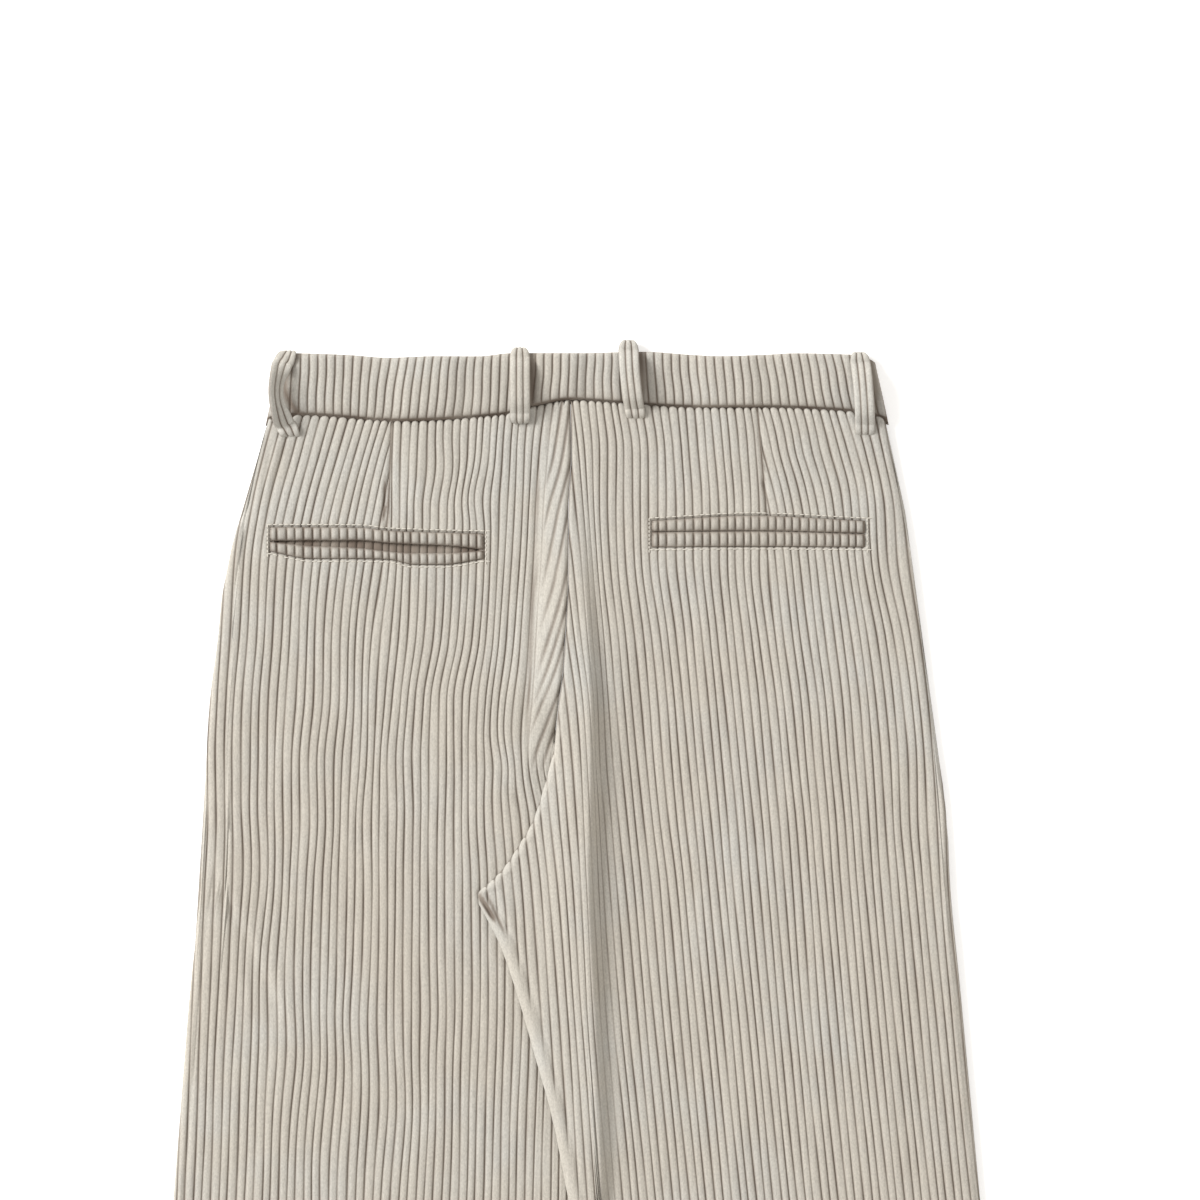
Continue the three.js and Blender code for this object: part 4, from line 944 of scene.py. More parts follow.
def band_place(share, across_share, lean=0.0):
    left = BAND_TOP_ENDS[0] + (BAND_BOTTOM_ENDS[0] - BAND_TOP_ENDS[0]) * share
    right = BAND_TOP_ENDS[1] + (BAND_BOTTOM_ENDS[1] - BAND_TOP_ENDS[1]) * share
    across = left + (right - left) * across_share
    across = across + lean * (share - 0.5)
    return across, waist_top(across) + (waist_seam(across) - waist_top(across)) * share


# Rows of the band from its top edge, the last two tucked in under the panels: how much thinner it is
# there, its ribs' share and their tone, a little darker at the rounded top edge and darker and darker
# down into the seam, as painted shade
BAND_ROWS = table("share thin rib tone", [
    [0, 2.0, 0.2, 0.8], [0.008, 1.45, 0.45, 0.9], [0.025, 0.95, 0.7, 1], [0.05, 0.55, 0.9, 1],
    [0.09, 0.2, 1, 1], [0.15, -0.1, 1, 1], [0.25, -0.35, 1, 1], [0.35, -0.5, 1, 1], [0.45, -0.55, 1, 1],
    [0.55, -0.55, 1, 1], [0.65, -0.45, 1, 1], [0.75, -0.3, 1, 1], [0.84, -0.1, 1, 0.97],
    [0.9, 0.1, 1, 0.92], [0.94, 0.3, 0.97, 0.86], [0.97, 0.65, 0.85, 0.75], [0.99, 1.2, 0.5, 0.5],
    [1, 1.9, 0.2, 0.1], [1.05, 2.4, 0, 0], [1.13, 2.6, 0, 0],
])


def waistband_back():
    """The length of waistband over the seat, its wales leaning at the left end."""
    section = WALE_SECTION
    wales = (np.arange(BAND_WALES)[:, None] + section["place"][None, :]).ravel()
    wales = np.append(wales, BAND_WALES)
    pile = np.append(np.tile(section["pile"], BAND_WALES), 0.0)
    across_share = wales / BAND_WALES
    share = BAND_ROWS["share"][None, :]
    lean = BAND_LEAN * smooth(0, 0.03, across_share) * (1 - smooth(0.06, 0.24, across_share))
    inside = smooth(0, 0.02, across_share) * (1 - smooth(0.98, 1, across_share))
    uneven = 0.7 * np.sin(wales / 3.1) + 0.4 * np.sin(wales / 1.3 + 1)
    sway = 0.4 * np.sin(wales / 4.7 + 4 * share.T) + 0.2 * np.sin(wales / 1.9 - 5 * share.T)
    across, down = band_place(share, across_share[:, None], (lean + inside * uneven)[:, None])
    across = across + (inside * sway).T * np.sin(math.pi * share)
    _, _, inner, face = band_heights(across, share)
    ripple = 0.3 * np.sin(across / 17.0) + 0.25 * np.sin(across / 7.3 + 1) * np.sin(4 * share + 1)
    pile_grid = np.repeat(pile[:, None], across.shape[1], 1)
    rib = BAND_ROWS["rib"][None, :]
    height = face - BAND_ROWS["thin"][None, :] + ripple * rib
    # The band sinks into a hollow beside the right edge of each loop, which the tone below also darkens as a
    # painted shadow of the loop.
    hollow_and_shadow = np.zeros(across.shape)
    for loop in BACK_LOOPS.values():
        middle = loop["top"][0] + (loop["middle"] - loop["top"][0]) * np.sin(math.pi * np.minimum(1, share))
        edge = middle + LOOP_WIDTH / 2 * math.cos(loop["tilt"])
        hollow_and_shadow = np.maximum(hollow_and_shadow, bell(across - edge - 1.2, 2.6))
    height = height + rib * (pile_grid * (BAND_RISE + GROOVE_DEPTH) - GROOVE_DEPTH) - LOOP_HOLLOW * hollow_and_shadow
    height = np.maximum(height, inner + 0.4)
    upper = metres(across, down, height)
    columns = thinned(across.shape[0], 6)
    lower = metres(across, down, inner)[np.ix_(columns, thinned(across.shape[1], 3))]
    # Tone: painted shadow beside the loops, and the rows' painted shade at the top edge and into the seam.
    tone = pile_grid * BAND_ROWS["tone"][None, :] * (1 - 0.8 * hollow_and_shadow)
    return shell("cord_waistband_back", upper, lower, tone)


def waistband_front(name, start, end):
    """A length of waistband under the front, its ribs towards the table."""
    count = round(BAND_WALES * (end - start))
    wales = (np.arange(count)[:, None] + FRONT_SECTION["place"][None, :]).ravel()
    wales = np.append(wales, count)
    pile = np.append(np.tile(FRONT_SECTION["pile"], count), 0.0)
    across_share = start + (end - start) * wales / count
    share = np.array([0.02, 0.06, 0.2, 0.4, 0.6, 0.8, 0.94, 0.98])[None, :]
    across, down = band_place(share, across_share[:, None])
    under, front_top, _, _ = band_heights(across, share)
    pile_grid = np.repeat(pile[:, None], across.shape[1], 1)
    below = metres(across, down, under + (BAND_RISE + 0.1) * (1 - pile_grid))
    top = metres(across, down, front_top)[np.ix_(thinned(len(wales), 4), thinned(share.size, 2))]
    return shell(name, top, below, lower_pile_and_shade=pile_grid)


def cloth_top(across, down):
    """The height of the crests of the waistband or of the panel under a belt loop."""
    top, seam = waist_top(across), waist_seam(across)
    share = min(1.0, max(0.0, (down - top) / (seam - top)))
    band = float(band_heights(np.array(across, float), share)[3]) + BAND_RISE
    if down < seam - 2:
        return band
    leg = LEFT if across < seat_seam(down) else RIGHT
    face = float(layers(leg, np.array(across, float), np.array(max(down, seam), float))[3])
    return max(band, face + WALE_RISE)


# Outline of a belt loop's section, as shares of its half width and its thickness, ribs upwards, with
# the pile at each point, less at the loop's sides as painted shade
LOOP_SECTION = table("aside up pile", [
    [-1, 0, 0.5], [-0.5, 0, 0.5], [0, 0, 0.5], [0.5, 0, 0.5], [1, 0, 0.4], [1.04, 0.35, 0.4],
    [1.0, 0.75, 0.75], [0.88, 1.02, 1], [0.68, 1.12, 1], [0.5, 1.08, 0.95], [0.4, 0.94, 0.6], [0.34, 0.7, 0],
    [0.28, 0.98, 0.6], [0.18, 1.16, 0.95], [0, 1.24, 1], [-0.18, 1.16, 0.95], [-0.28, 0.98, 0.6],
    [-0.34, 0.7, 0], [-0.4, 0.94, 0.6], [-0.5, 1.08, 0.95], [-0.68, 1.12, 1], [-0.88, 1.02, 1],
    [-1.0, 0.75, 0.75], [-1.04, 0.35, 0.4],
])
LOOP_STATIONS = 72
LOOP_CURL = 3.2
LOOP_CURL_DROP = 3.4
LOOP_RIB = 0.8
LOOP_TOP_ROUND = 6.0
LOOP_FOOT_ROUND = 3.0
LOOP_HOLLOW = 1.1
LOOP_TOP_NARROWER = 0.42
LOOP_FOOT_NARROWER = 0.22
SEAT_SMOOTHING = 5


def swept_loop(name, middles, turns, widths=1.0):
    """A strip with the loop's section along a line of points, each turned about the line and with its
    own share of the width."""
    along = np.gradient(middles, axis=0)
    along /= np.linalg.norm(along, axis=1)[:, None]
    level = np.array([1.0, 0, 0]) - along * along[:, :1]
    level /= np.linalg.norm(level, axis=1)[:, None]
    upright = -np.cross(level, along)
    cos, sin = np.cos(turns)[:, None], np.sin(turns)[:, None]
    width = level * cos + np.cross(along, level) * sin
    thickness = upright * cos + np.cross(along, upright) * sin
    aside = LOOP_SECTION["aside"] * LOOP_WIDTH / 2 * MM
    up = LOOP_SECTION["up"] * (LOOP_CLOTH + LOOP_RISE * LOOP_RIB) * MM
    width = width * np.broadcast_to(widths, len(middles))[:, None]
    points = middles[:, None, :] + width[:, None, :] * aside[None, :, None]
    points = points + thickness[:, None, :] * up[None, :, None]
    stations, around = points.shape[:2]
    numbers = np.arange(stations * around).reshape(stations, around)
    faces = []
    for s in range(stations - 1):
        for i in range(around):
            j = (i + 1) % around
            corners = (numbers[s, i], numbers[s, j], numbers[s + 1, j], numbers[s + 1, i])
            faces.append([int(corner) for corner in corners])
    faces.append([int(n) for n in numbers[0, ::-1]])
    faces.append([int(n) for n in numbers[-1]])
    return make_object(name, points.reshape(-1, 3), faces, np.tile(LOOP_SECTION["pile"], stations))


def back_loop(name, loop):
    shares = 0.5 - 0.5 * np.cos(np.linspace(0, math.pi, LOOP_STATIONS))
    off = curve(LOOP_ARCH["share"], LOOP_ARCH["off"])(shares)
    lean = 4 * shares * (1 - shares)
    top, foot = loop["top"], loop["foot"]
    across = top[0] + (foot[0] - top[0]) * shares + (loop["middle"] - (top[0] + foot[0]) / 2) * lean
    down = top[1] + (foot[1] - top[1]) * shares
    turns = loop["tilt"] * off
    edge = LOOP_WIDTH / 2 * np.abs(np.sin(turns))
    seat = np.array([cloth_top(a, max(d, float(waist_top(a)) + 1)) for a, d in zip(across, down)]) + GAP
    window = 2 * SEAT_SMOOTHING + 1
    padded = np.pad(seat, SEAT_SMOOTHING, mode="edge")
    seat = np.convolve(padded, np.ones(window) / window, "valid")
    from_end = np.minimum(shares, 1 - shares) * math.dist(top, foot)
    curled = 1 - rounded(from_end, LOOP_CURL)
    height = seat + loop["stand_off"] * off + edge * 0.4 - LOOP_CURL_DROP * curled
    at_top = 1 - rounded(shares * math.dist(top, foot), LOOP_TOP_ROUND)
    at_foot = 1 - rounded((1 - shares) * math.dist(top, foot), LOOP_FOOT_ROUND)
    widths = 1 - LOOP_TOP_NARROWER * at_top - LOOP_FOOT_NARROWER * at_foot
    middles = metres(across, down, height)
    return laid(swept_loop(f"cord_{name}", middles, turns, widths))


def front_loop(name, across):
    thick = LOOP_SECTION["up"].max() * (LOOP_CLOTH + LOOP_RISE * LOOP_RIB)
    down = np.linspace(float(waist_top(across)) + 1, float(waist_seam(across)) - 1, 12)
    middles = metres(np.full(12, across), down, thick)
    piece = swept_loop(f"cord_{name}", middles, np.full(12, math.pi))
    return laid(piece)


# Back pockets

# Rows of a lip from its stitched edge to the mouth: how high they lie, their ribs' share and their tone,
# darker with painted shade where the lip sinks into the stitched ditch and most where it rolls into the
# mouth
LIP_ROWS = table("share height rib tone", [
    [0, -0.35, 0.2, 0.45], [0.05, -0.1, 0.45, 0.65], [0.12, 0.2, 0.75, 0.85], [0.24, 0.55, 1, 0.97],
    [0.4, 0.85, 1, 1], [0.56, 0.85, 1, 1], [0.72, 0.6, 1, 0.97], [0.85, 0.15, 0.8, 0.85],
    [0.94, -0.4, 0.45, 0.5], [1, -0.95, 0.1, 0.15],
])
LIP_ROUNDNESS = 1.8


def strip_columns(leg, rows, level):
    """Pile and place of the columns of a pocket's strip, in line with its panel's wales."""
    numbers = np.arange(leg.wales[0], leg.wales[1])
    wales = (numbers[:, None] + WALE_SECTION["place"][None, :]).ravel()
    pile = np.tile(WALE_SECTION["pile"], len(numbers))
    across = wale_paths(leg, wales)[:, np.searchsorted(LEVELS, level)]
    kept = (across > rows["across"][0] + 0.5) & (across < rows["across"][-1] - 0.5)
    ends = rows["across"][[0, -1]].astype(float)
    across = np.concatenate([ends[:1], across[kept], ends[1:]])
    return np.concatenate([[0.5], pile[kept], [0.5]]), across


def lip(leg, rows, name, top_name, bottom_name, mouth_first):
    """A pocket's lip: rolled over at the mouth and sunk into the stitched ditch at its other edge."""
    pile, across = strip_columns(leg, rows, DART_END + 2)
    top = line(rows, "across", top_name)(across)[:, None]
    bottom = line(rows, "across", bottom_name)(across)[:, None]
    share = LIP_ROWS["share"][None, :]
    down = (bottom - (bottom - top) * share) if mouth_first else (top + (bottom - top) * share)
    order = slice(None, None, -1) if mouth_first else slice(None)
    down = down[:, order]
    profile, rib, tone = (LIP_ROWS[head][order][None, :] for head in ("height", "rib", "tone"))
    across_grid = np.repeat(across[:, None], down.shape[1], 1)
    _, _, _, face, _ = layers(leg, across_grid, down)
    pile_grid = np.repeat(pile[:, None], down.shape[1], 1) ** LIP_ROUNDNESS
    bottom_height = face + WALE_RISE - POCKET_SINK + LIP_STAND
    ends = np.minimum(across_grid - across[0], across[-1] - across_grid)
    end_drop = 0.8 * (1 - rounded(ends, 2.0))
    height = bottom_height + LIP_CLOTH + profile - end_drop
    height = height + rib * (pile_grid * (LIP_RISE + LIP_GROOVE) - LIP_GROOVE)
    upper = metres(across_grid, down, np.maximum(height, bottom_height + 0.1))
    columns, rows_kept = thinned(len(across), 6), thinned(down.shape[1], 4)
    lower = metres(across_grid, down, bottom_height)[np.ix_(columns, rows_kept)]
    # The tone darkens the lip's edges with painted shade.
    return shell(name, upper, lower, 0.9 * pile_grid * tone)


def facing():
    """The strip of cord inside the gaping pocket."""
    pile, across = strip_columns(LEFT, LEFT_POCKET, DART_END + 2)
    top = line(LEFT_POCKET, "across", "mouth_top")(across)[:, None] - LIP_TUCK
    bottom = line(LEFT_POCKET, "across", "mouth_bottom")(across)[:, None] + LIP_TUCK
    share = np.linspace(0, 1, 12)[None, :]
    down = top + (bottom - top) * share
    across_grid = np.repeat(across[:, None], down.shape[1], 1)
    _, front_top, _, _, _ = layers(LEFT, across_grid, down)
    pile_grid = np.repeat(pile[:, None], down.shape[1], 1)
    base = front_top + GAP
    slope = 0.9 * smooth(0.35, 0.75, share)
    height = base + FACING_CLOTH + slope + pile_grid * (LIP_RISE + GROOVE_DEPTH) - GROOVE_DEPTH
    upper = metres(across_grid, down, height)
    lower = metres(across_grid, down, base)[np.ix_(thinned(len(across), 6), thinned(down.shape[1], 4))]
    # Painted shadow of the upper lip: the facing is almost black under the top of the mouth and lightens
    # only a little lower down.
    tone = pile_grid * (0.02 + 0.35 * smooth(0.5, 0.85, share))
    return shell("cord_pocket_left_facing", upper, lower, tone)


# Materials


def new_group(name, inputs, outputs):
    """An empty shader node group with its sockets."""
    group = bpy.data.node_groups.new(name, "ShaderNodeTree")
    for way, sockets in (("INPUT", inputs), ("OUTPUT", outputs)):
        for socket_name, kind in sockets:
            group.interface.new_socket(socket_name, in_out=way, socket_type=f"NodeSocket{kind}")
    return group, group.nodes.new("NodeGroupInput"), group.nodes.new("NodeGroupOutput")


def math_node(nodes, links, operation, a, b=None, third=None):
    """A Math node with its inputs linked or set."""
    node = nodes.new("ShaderNodeMath")
    node.operation = operation
    for socket, value in zip(node.inputs, (a, b, third)):
        if value is None:
            continue
        if isinstance(value, (int, float)):
            socket.default_value = value
        else:
            links.new(value, socket)
    return node.outputs[0]


def mixed(nodes, links, factor, a, b, blend="MIX"):
    """A colour mix of two colours, each a socket or three numbers."""
    node = nodes.new("ShaderNodeMix")
    node.data_type = "RGBA"
    node.blend_type = blend
    for socket, value in ((node.inputs[0], factor), (node.inputs[6], a), (node.inputs[7], b)):
        if isinstance(value, (int, float)):
            socket.default_value = value
        elif isinstance(value, tuple):
            socket.default_value = (*value, 1.0)
        else:
            links.new(value, socket)
    return node.outputs[2]


def noise(nodes, links, vector, scale, detail=2.0, roughness=0.5):
    node = nodes.new("ShaderNodeTexNoise")
    set_inputs(node, {"Scale": scale, "Detail": detail, "Roughness": roughness})
    links.new(vector, node.inputs["Vector"])
    return node.outputs["Fac"]


def ranged(nodes, links, value, from_low, from_high, to_low=0.0, to_high=1.0):
    node = nodes.new("ShaderNodeMapRange")
    for index, number in enumerate((from_low, from_high, to_low, to_high), start=1):
        node.inputs[index].default_value = number
    links.new(value, node.inputs[0])
    return node.outputs[0]


def stretched(nodes, links, vector, scale):
    node = nodes.new("ShaderNodeMapping")
    node.inputs["Scale"].default_value = scale
    links.new(vector, node.inputs["Vector"])
    return node.outputs["Vector"]


def nap_group():
    """Cut pile: dark grooves, brushed streaks along the wales, soft blotches, a painted cool reflection
    towards the waist and a fibre bump. Where a piece lowers its pile attribute at seams, gaps and edges,
    the colour darkens towards the groove colour as painted shade.
    """
    group, start, end = new_group(
        "cord_nap",
        [("Crest", "Color"), ("Groove and shade", "Color"), ("Cool", "Color"), ("Warm", "Color"),
         ("Blotches", "Float"), ("Fibre", "Float")],
        [("Color", "Color"), ("Roughness", "Float"), ("Normal", "Vector")],
    )
    nodes, links = group.nodes, group.links
    place = nodes.new("ShaderNodeTexCoord").outputs["Object"]
    pile_and_shade_node = nodes.new("ShaderNodeAttribute")
    pile_and_shade_node.attribute_name = "pile"
    pile = pile_and_shade_node.outputs["Fac"]

    blotch = noise(nodes, links, place, 14.0, 3.0, 0.55)
    patch = noise(nodes, links, stretched(nodes, links, place, (1.0, 0.45, 1.0)), 7.0, 2.0, 0.5)
    streak = noise(nodes, links, stretched(nodes, links, place, (420.0, 26.0, 60.0)), 1.0, 3.0, 0.6)
    speck = noise(nodes, links, stretched(nodes, links, place, (1.0, 0.5, 1.0)), 1100.0, 3.0, 0.7)
    worn = noise(nodes, links, stretched(nodes, links, place, (60.0, 30.0, 60.0)), 1.0, 2.0, 0.5)
    height_on_cloth = nodes.new("ShaderNodeSeparateXYZ")
    links.new(place, height_on_cloth.inputs[0])
    # Painted cool reflection: the colour turns cooler towards the waist, besides the random cool blotches.
    cool_reflection_toward_waist = ranged(nodes, links, height_on_cloth.outputs["Y"], 0.25, 0.5)

    cloud = ranged(nodes, links, blotch, 0.45, 0.68)
    cool = math_node(nodes, links, "MULTIPLY_ADD", cool_reflection_toward_waist, 0.35, third=cloud)
    tint = mixed(nodes, links, cool, start.outputs["Crest"], start.outputs["Cool"])
    warmth = ranged(nodes, links, patch, 0.48, 0.72, 0.0, 0.7)
    tint = mixed(nodes, links, warmth, tint, start.outputs["Warm"])
    tint = mixed(nodes, links, start.outputs["Blotches"], start.outputs["Crest"], tint)
    # The pile attribute mixes groove and crest colours, so where a piece lowers it for painted shade the
    # colour darkens.
    depth = math_node(nodes, links, "POWER", pile, 1.6)
    shade = ranged(nodes, links, streak, 0.3, 0.72, 0.93, 1.05)
    fleck = ranged(nodes, links, speck, 0.3, 0.7, 0.82, 1.14)
    brushed = math_node(nodes, links, "MULTIPLY", shade, fleck)
    grey = nodes.new("ShaderNodeCombineColor")
    for socket in grey.inputs[:3]:
        links.new(brushed, socket)
    coloured = mixed(nodes, links, 1.0, tint, grey.outputs[0], "MULTIPLY")
    faded = mixed(nodes, links, 0.35, start.outputs["Groove and shade"], start.outputs["Warm"])
    groove_and_shade = mixed(nodes, links, ranged(nodes, links, worn, 0.42, 0.7), start.outputs["Groove and shade"], faded)
    colour = mixed(nodes, links, depth, groove_and_shade, coloured)
    links.new(colour, end.inputs["Color"])
    links.new(ranged(nodes, links, streak, 0.2, 0.8, 0.82, 0.98), end.inputs["Roughness"])

    bump = nodes.new("ShaderNodeBump")
    bump.inputs["Distance"].default_value = 0.0006
    links.new(start.outputs["Fibre"], bump.inputs["Strength"])
    height = math_node(nodes, links, "MULTIPLY", speck, 0.6)
    height = math_node(nodes, links, "ADD", height, math_node(nodes, links, "MULTIPLY", streak, 0.8))
    links.new(height, bump.inputs["Height"])
    links.new(bump.outputs["Normal"], end.inputs["Normal"])
    return group


SHEEN_TINT = (1.0, 0.97, 0.92, 1.0)


def new_material(name):
    """A material with its nodes, its links and its shader."""
    material = bpy.data.materials.new(name)
    material.use_nodes = True
    nodes = material.node_tree.nodes
    return material, nodes, material.node_tree.links, nodes["Principled BSDF"]


def set_inputs(node, values):
    """Sets a node's inputs by their names."""
    for name, value in values.items():
        node.inputs[name].default_value = value


def cord_material(name, group, colours, sheen):
    """A cord finish from the nap group. Colours are crest, groove (also the painted shade), cool and warm.
    """
    material, nodes, links, shader = new_material(name)
    nap = nodes.new("ShaderNodeGroup")
    nap.node_tree = group
    for socket_name, colour in zip(("Crest", "Groove and shade", "Cool", "Warm"), colours):
        nap.inputs[socket_name].default_value = (*colour, 1.0)
    set_inputs(nap, {"Blotches": 1.0, "Fibre": 0.5})
    for given, taken in (("Color", "Base Color"), ("Roughness", "Roughness"), ("Normal", "Normal")):
        links.new(nap.outputs[given], shader.inputs[taken])
    set_inputs(shader, {"Sheen Weight": sheen, "Sheen Roughness": 0.5, "Sheen Tint": SHEEN_TINT,
                        "Specular IOR Level": 0.15})
    return material


def thread_material():
    """Soft twisted sewing thread."""
    material, nodes, links, shader = new_material("sewing_thread")
    place = nodes.new("ShaderNodeTexCoord").outputs["Object"]
    grain = noise(nodes, links, place, 1500.0, 2.0)
    colour = mixed(nodes, links, grain, (0.72, 0.68, 0.6), (0.84, 0.8, 0.73))
    links.new(colour, shader.inputs["Base Color"])
    set_inputs(shader, {"Roughness": 0.7, "Specular IOR Level": 0.25})
    return material


def button_material():
    """Horn-like resin with cloudy streaks."""
    material, nodes, links, shader = new_material("button_resin")
    place = nodes.new("ShaderNodeTexCoord").outputs["Object"]
    cloud = noise(nodes, links, stretched(nodes, links, place, (120.0, 500.0, 200.0)), 1.0, 4.0, 0.6)
    share = ranged(nodes, links, cloud, 0.35, 0.65)
    colour = mixed(nodes, links, share, (0.16, 0.12, 0.09), (0.34, 0.28, 0.2))
    links.new(colour, shader.inputs["Base Color"])
    links.new(ranged(nodes, links, cloud, 0.3, 0.7, 0.3, 0.42), shader.inputs["Roughness"])
    return material


NAP = nap_group()
CREST = (0.615, 0.58, 0.515)
# The groove colour also serves as the painted shade at seams, gaps and edges.
GROOVE_AND_SHADE = (0.205, 0.163, 0.132)
# The cool colour tints random blotches and, as a painted cool reflection, the cloth towards the waist.
COOL = (0.612, 0.598, 0.556)
WARM = (0.6, 0.555, 0.485)
CORD = cord_material("cord_face", NAP, (CREST, GROOVE_AND_SHADE, COOL, WARM), 0.12)
SHADED = ((0.42, 0.37, 0.31), GROOVE_AND_SHADE, (0.42, 0.39, 0.35), WARM)
CORD_INSIDE = cord_material("cord_in_shade", NAP, SHADED, 0.08)
THREAD = thread_material()
BUTTON = button_material()


def dress(thing, material, slot_name, *replaced):
    """Gives a piece its material, hangs it on the root body and hides the frame's parts that it
    stands for.
    """
    thing.data.materials.clear()
    thing.data.materials.append(material)
    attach(thing, "root")
    if replaced:
        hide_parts(*replaced)
    return thing


# Stitches


def stitch_tree():
    """Geometry nodes that lay short threads along a path: stitches of one length at one spacing."""
    tree = bpy.data.node_groups.new("stitch_row", "GeometryNodeTree")
    tree.interface.new_socket("Geometry", in_out="INPUT", socket_type="NodeSocketGeometry")
    for name in ("Spacing", "Length", "Radius"):
        tree.interface.new_socket(name, in_out="INPUT", socket_type="NodeSocketFloat")
    tree.interface.new_socket("Material", in_out="INPUT", socket_type="NodeSocketMaterial")
    tree.interface.new_socket("Geometry", in_out="OUTPUT", socket_type="NodeSocketGeometry")
    nodes, links = tree.nodes, tree.links
    start, end = nodes.new("NodeGroupInput"), nodes.new("NodeGroupOutput")

    path = nodes.new("GeometryNodeMeshToCurve")
    links.new(start.outputs["Geometry"], path.inputs[0])
    points = nodes.new("GeometryNodeCurveToPoints")
    points.mode = "LENGTH"
    links.new(path.outputs[0], points.inputs["Curve"])
    links.new(start.outputs["Spacing"], points.inputs["Length"])

    thread = nodes.new("GeometryNodeCurvePrimitiveLine")
    thread.mode = "DIRECTION"
    thread.inputs["Direction"].default_value = (0, 0, 1)
    links.new(start.outputs["Length"], thread.inputs["Length"])
    bent = nodes.new("GeometryNodeResampleCurve")
    bent.inputs["Count"].default_value = 5
    links.new(thread.outputs[0], bent.inputs["Curve"])
    ring = nodes.new("GeometryNodeCurvePrimitiveCircle")
    ring.inputs["Resolution"].default_value = 6
    links.new(start.outputs["Radius"], ring.inputs["Radius"])
    factor = nodes.new("GeometryNodeSplineParameter").outputs["Factor"]
    away = math_node(nodes, links, "SUBTRACT", factor, 0.5)
    square = math_node(nodes, links, "MULTIPLY", away, away)
    taper = math_node(nodes, links, "SUBTRACT", 1.0, math_node(nodes, links, "MULTIPLY", square, 2.2))
    radius = nodes.new("GeometryNodeSetCurveRadius")
    links.new(bent.outputs[0], radius.inputs["Curve"])
    links.new(taper, radius.inputs["Radius"])
    tube = nodes.new("GeometryNodeCurveToMesh")
    tube.inputs["Fill Caps"].default_value = True
    links.new(radius.outputs[0], tube.inputs["Curve"])
    links.new(ring.outputs[0], tube.inputs["Profile Curve"])
    if "Scale" in tube.inputs:
        links.new(taper, tube.inputs["Scale"])

    instances = nodes.new("GeometryNodeInstanceOnPoints")
    links.new(points.outputs["Points"], instances.inputs["Points"])
    links.new(tube.outputs[0], instances.inputs["Instance"])
    links.new(points.outputs["Rotation"], instances.inputs["Rotation"])
    real = nodes.new("GeometryNodeRealizeInstances")
    links.new(instances.outputs[0], real.inputs[0])
    soft = nodes.new("GeometryNodeSetShadeSmooth")
    links.new(real.outputs[0], soft.inputs["Geometry"])
    painted = nodes.new("GeometryNodeSetMaterial")
    links.new(soft.outputs[0], painted.inputs["Geometry"])
    links.new(start.outputs["Material"], painted.inputs["Material"])
    links.new(painted.outputs[0], end.inputs[0])
    return tree


STITCHES = stitch_tree()


def stitch_row(name, path, spacing=STITCH_SPACING, length=STITCH_LENGTH):
    """A row of stitches along a path of points in metres."""
    mesh = bpy.data.meshes.new(name)
    mesh.from_pydata(path.tolist(), [(i, i + 1) for i in range(len(path) - 1)], [])
    thing = added(name, mesh)
    modifier = thing.modifiers.new("stitches", "NODES")
    modifier.node_group = STITCHES
    inputs = {
        item.name: item.identifier
        for item in STITCHES.interface.items_tree
        if item.in_out == "INPUT"
    }
    modifier[inputs["Spacing"]] = spacing * MM
    modifier[inputs["Length"]] = length * MM
    modifier[inputs["Radius"]] = THREAD_RADIUS * MM
    modifier[inputs["Material"]] = THREAD
    apply_modifiers(thing)
    return dress(thing, THREAD, "corduroy")


def face_height(leg, across, down):
    """The height of the cloth's crests at a place, for what is sewn on it."""
    _, _, _, face, edge_round = layers(leg, across, down)
    return face + fine_relief(leg, across, down) + WALE_RISE * (0.3 + 0.7 * edge_round)


def pocket_stitches(leg):
    """Stitches in the cloth all round a pocket's lips."""
    rows = leg.pocket
    first, last = rows["across"][0] - POCKET_ASIDE, rows["across"][-1] + POCKET_ASIDE
    across = np.linspace(first, last, 300)
    top = line(rows, "across", "top")(across) - POCKET_OFF
    bottom = line(rows, "across", "bottom")(across) + POCKET_OFF
    upper = metres(across, top, face_height(leg, across, top))
    lower = metres(across, bottom, face_height(leg, across, bottom))
    stitch_row(f"stitches_pocket_{leg.name}_top", upper)
    stitch_row(f"stitches_pocket_{leg.name}_bottom", lower)
    for end_name, place, k in (("outer", first, 0), ("inner", last, -1)):
        down = np.linspace(top[k], bottom[k], 40)
        side = metres(np.full(40, place), down, face_height(leg, np.full(40, place), down))
        stitch_row(f"stitches_pocket_{leg.name}_{end_name}", side, SHORT_SPACING, SHORT_STITCH)


def hem_stitches(leg):
    """The row of stitches that holds a leg's hem, through its back and its front."""
    level = HEM_DOWN - HEM_STITCHES
    across = np.linspace(leg.first_edge(level) + 5, leg.last_edge(level) - 5, 200)
    down = np.full(200, level)
    stitch_row(f"stitches_hem_back_{leg.name}", metres(across, down, face_height(leg, across, down)))
    under = layers(leg, across, down)[0] + THREAD_RADIUS
    stitch_row(f"stitches_hem_front_{leg.name}", metres(across, down, under))


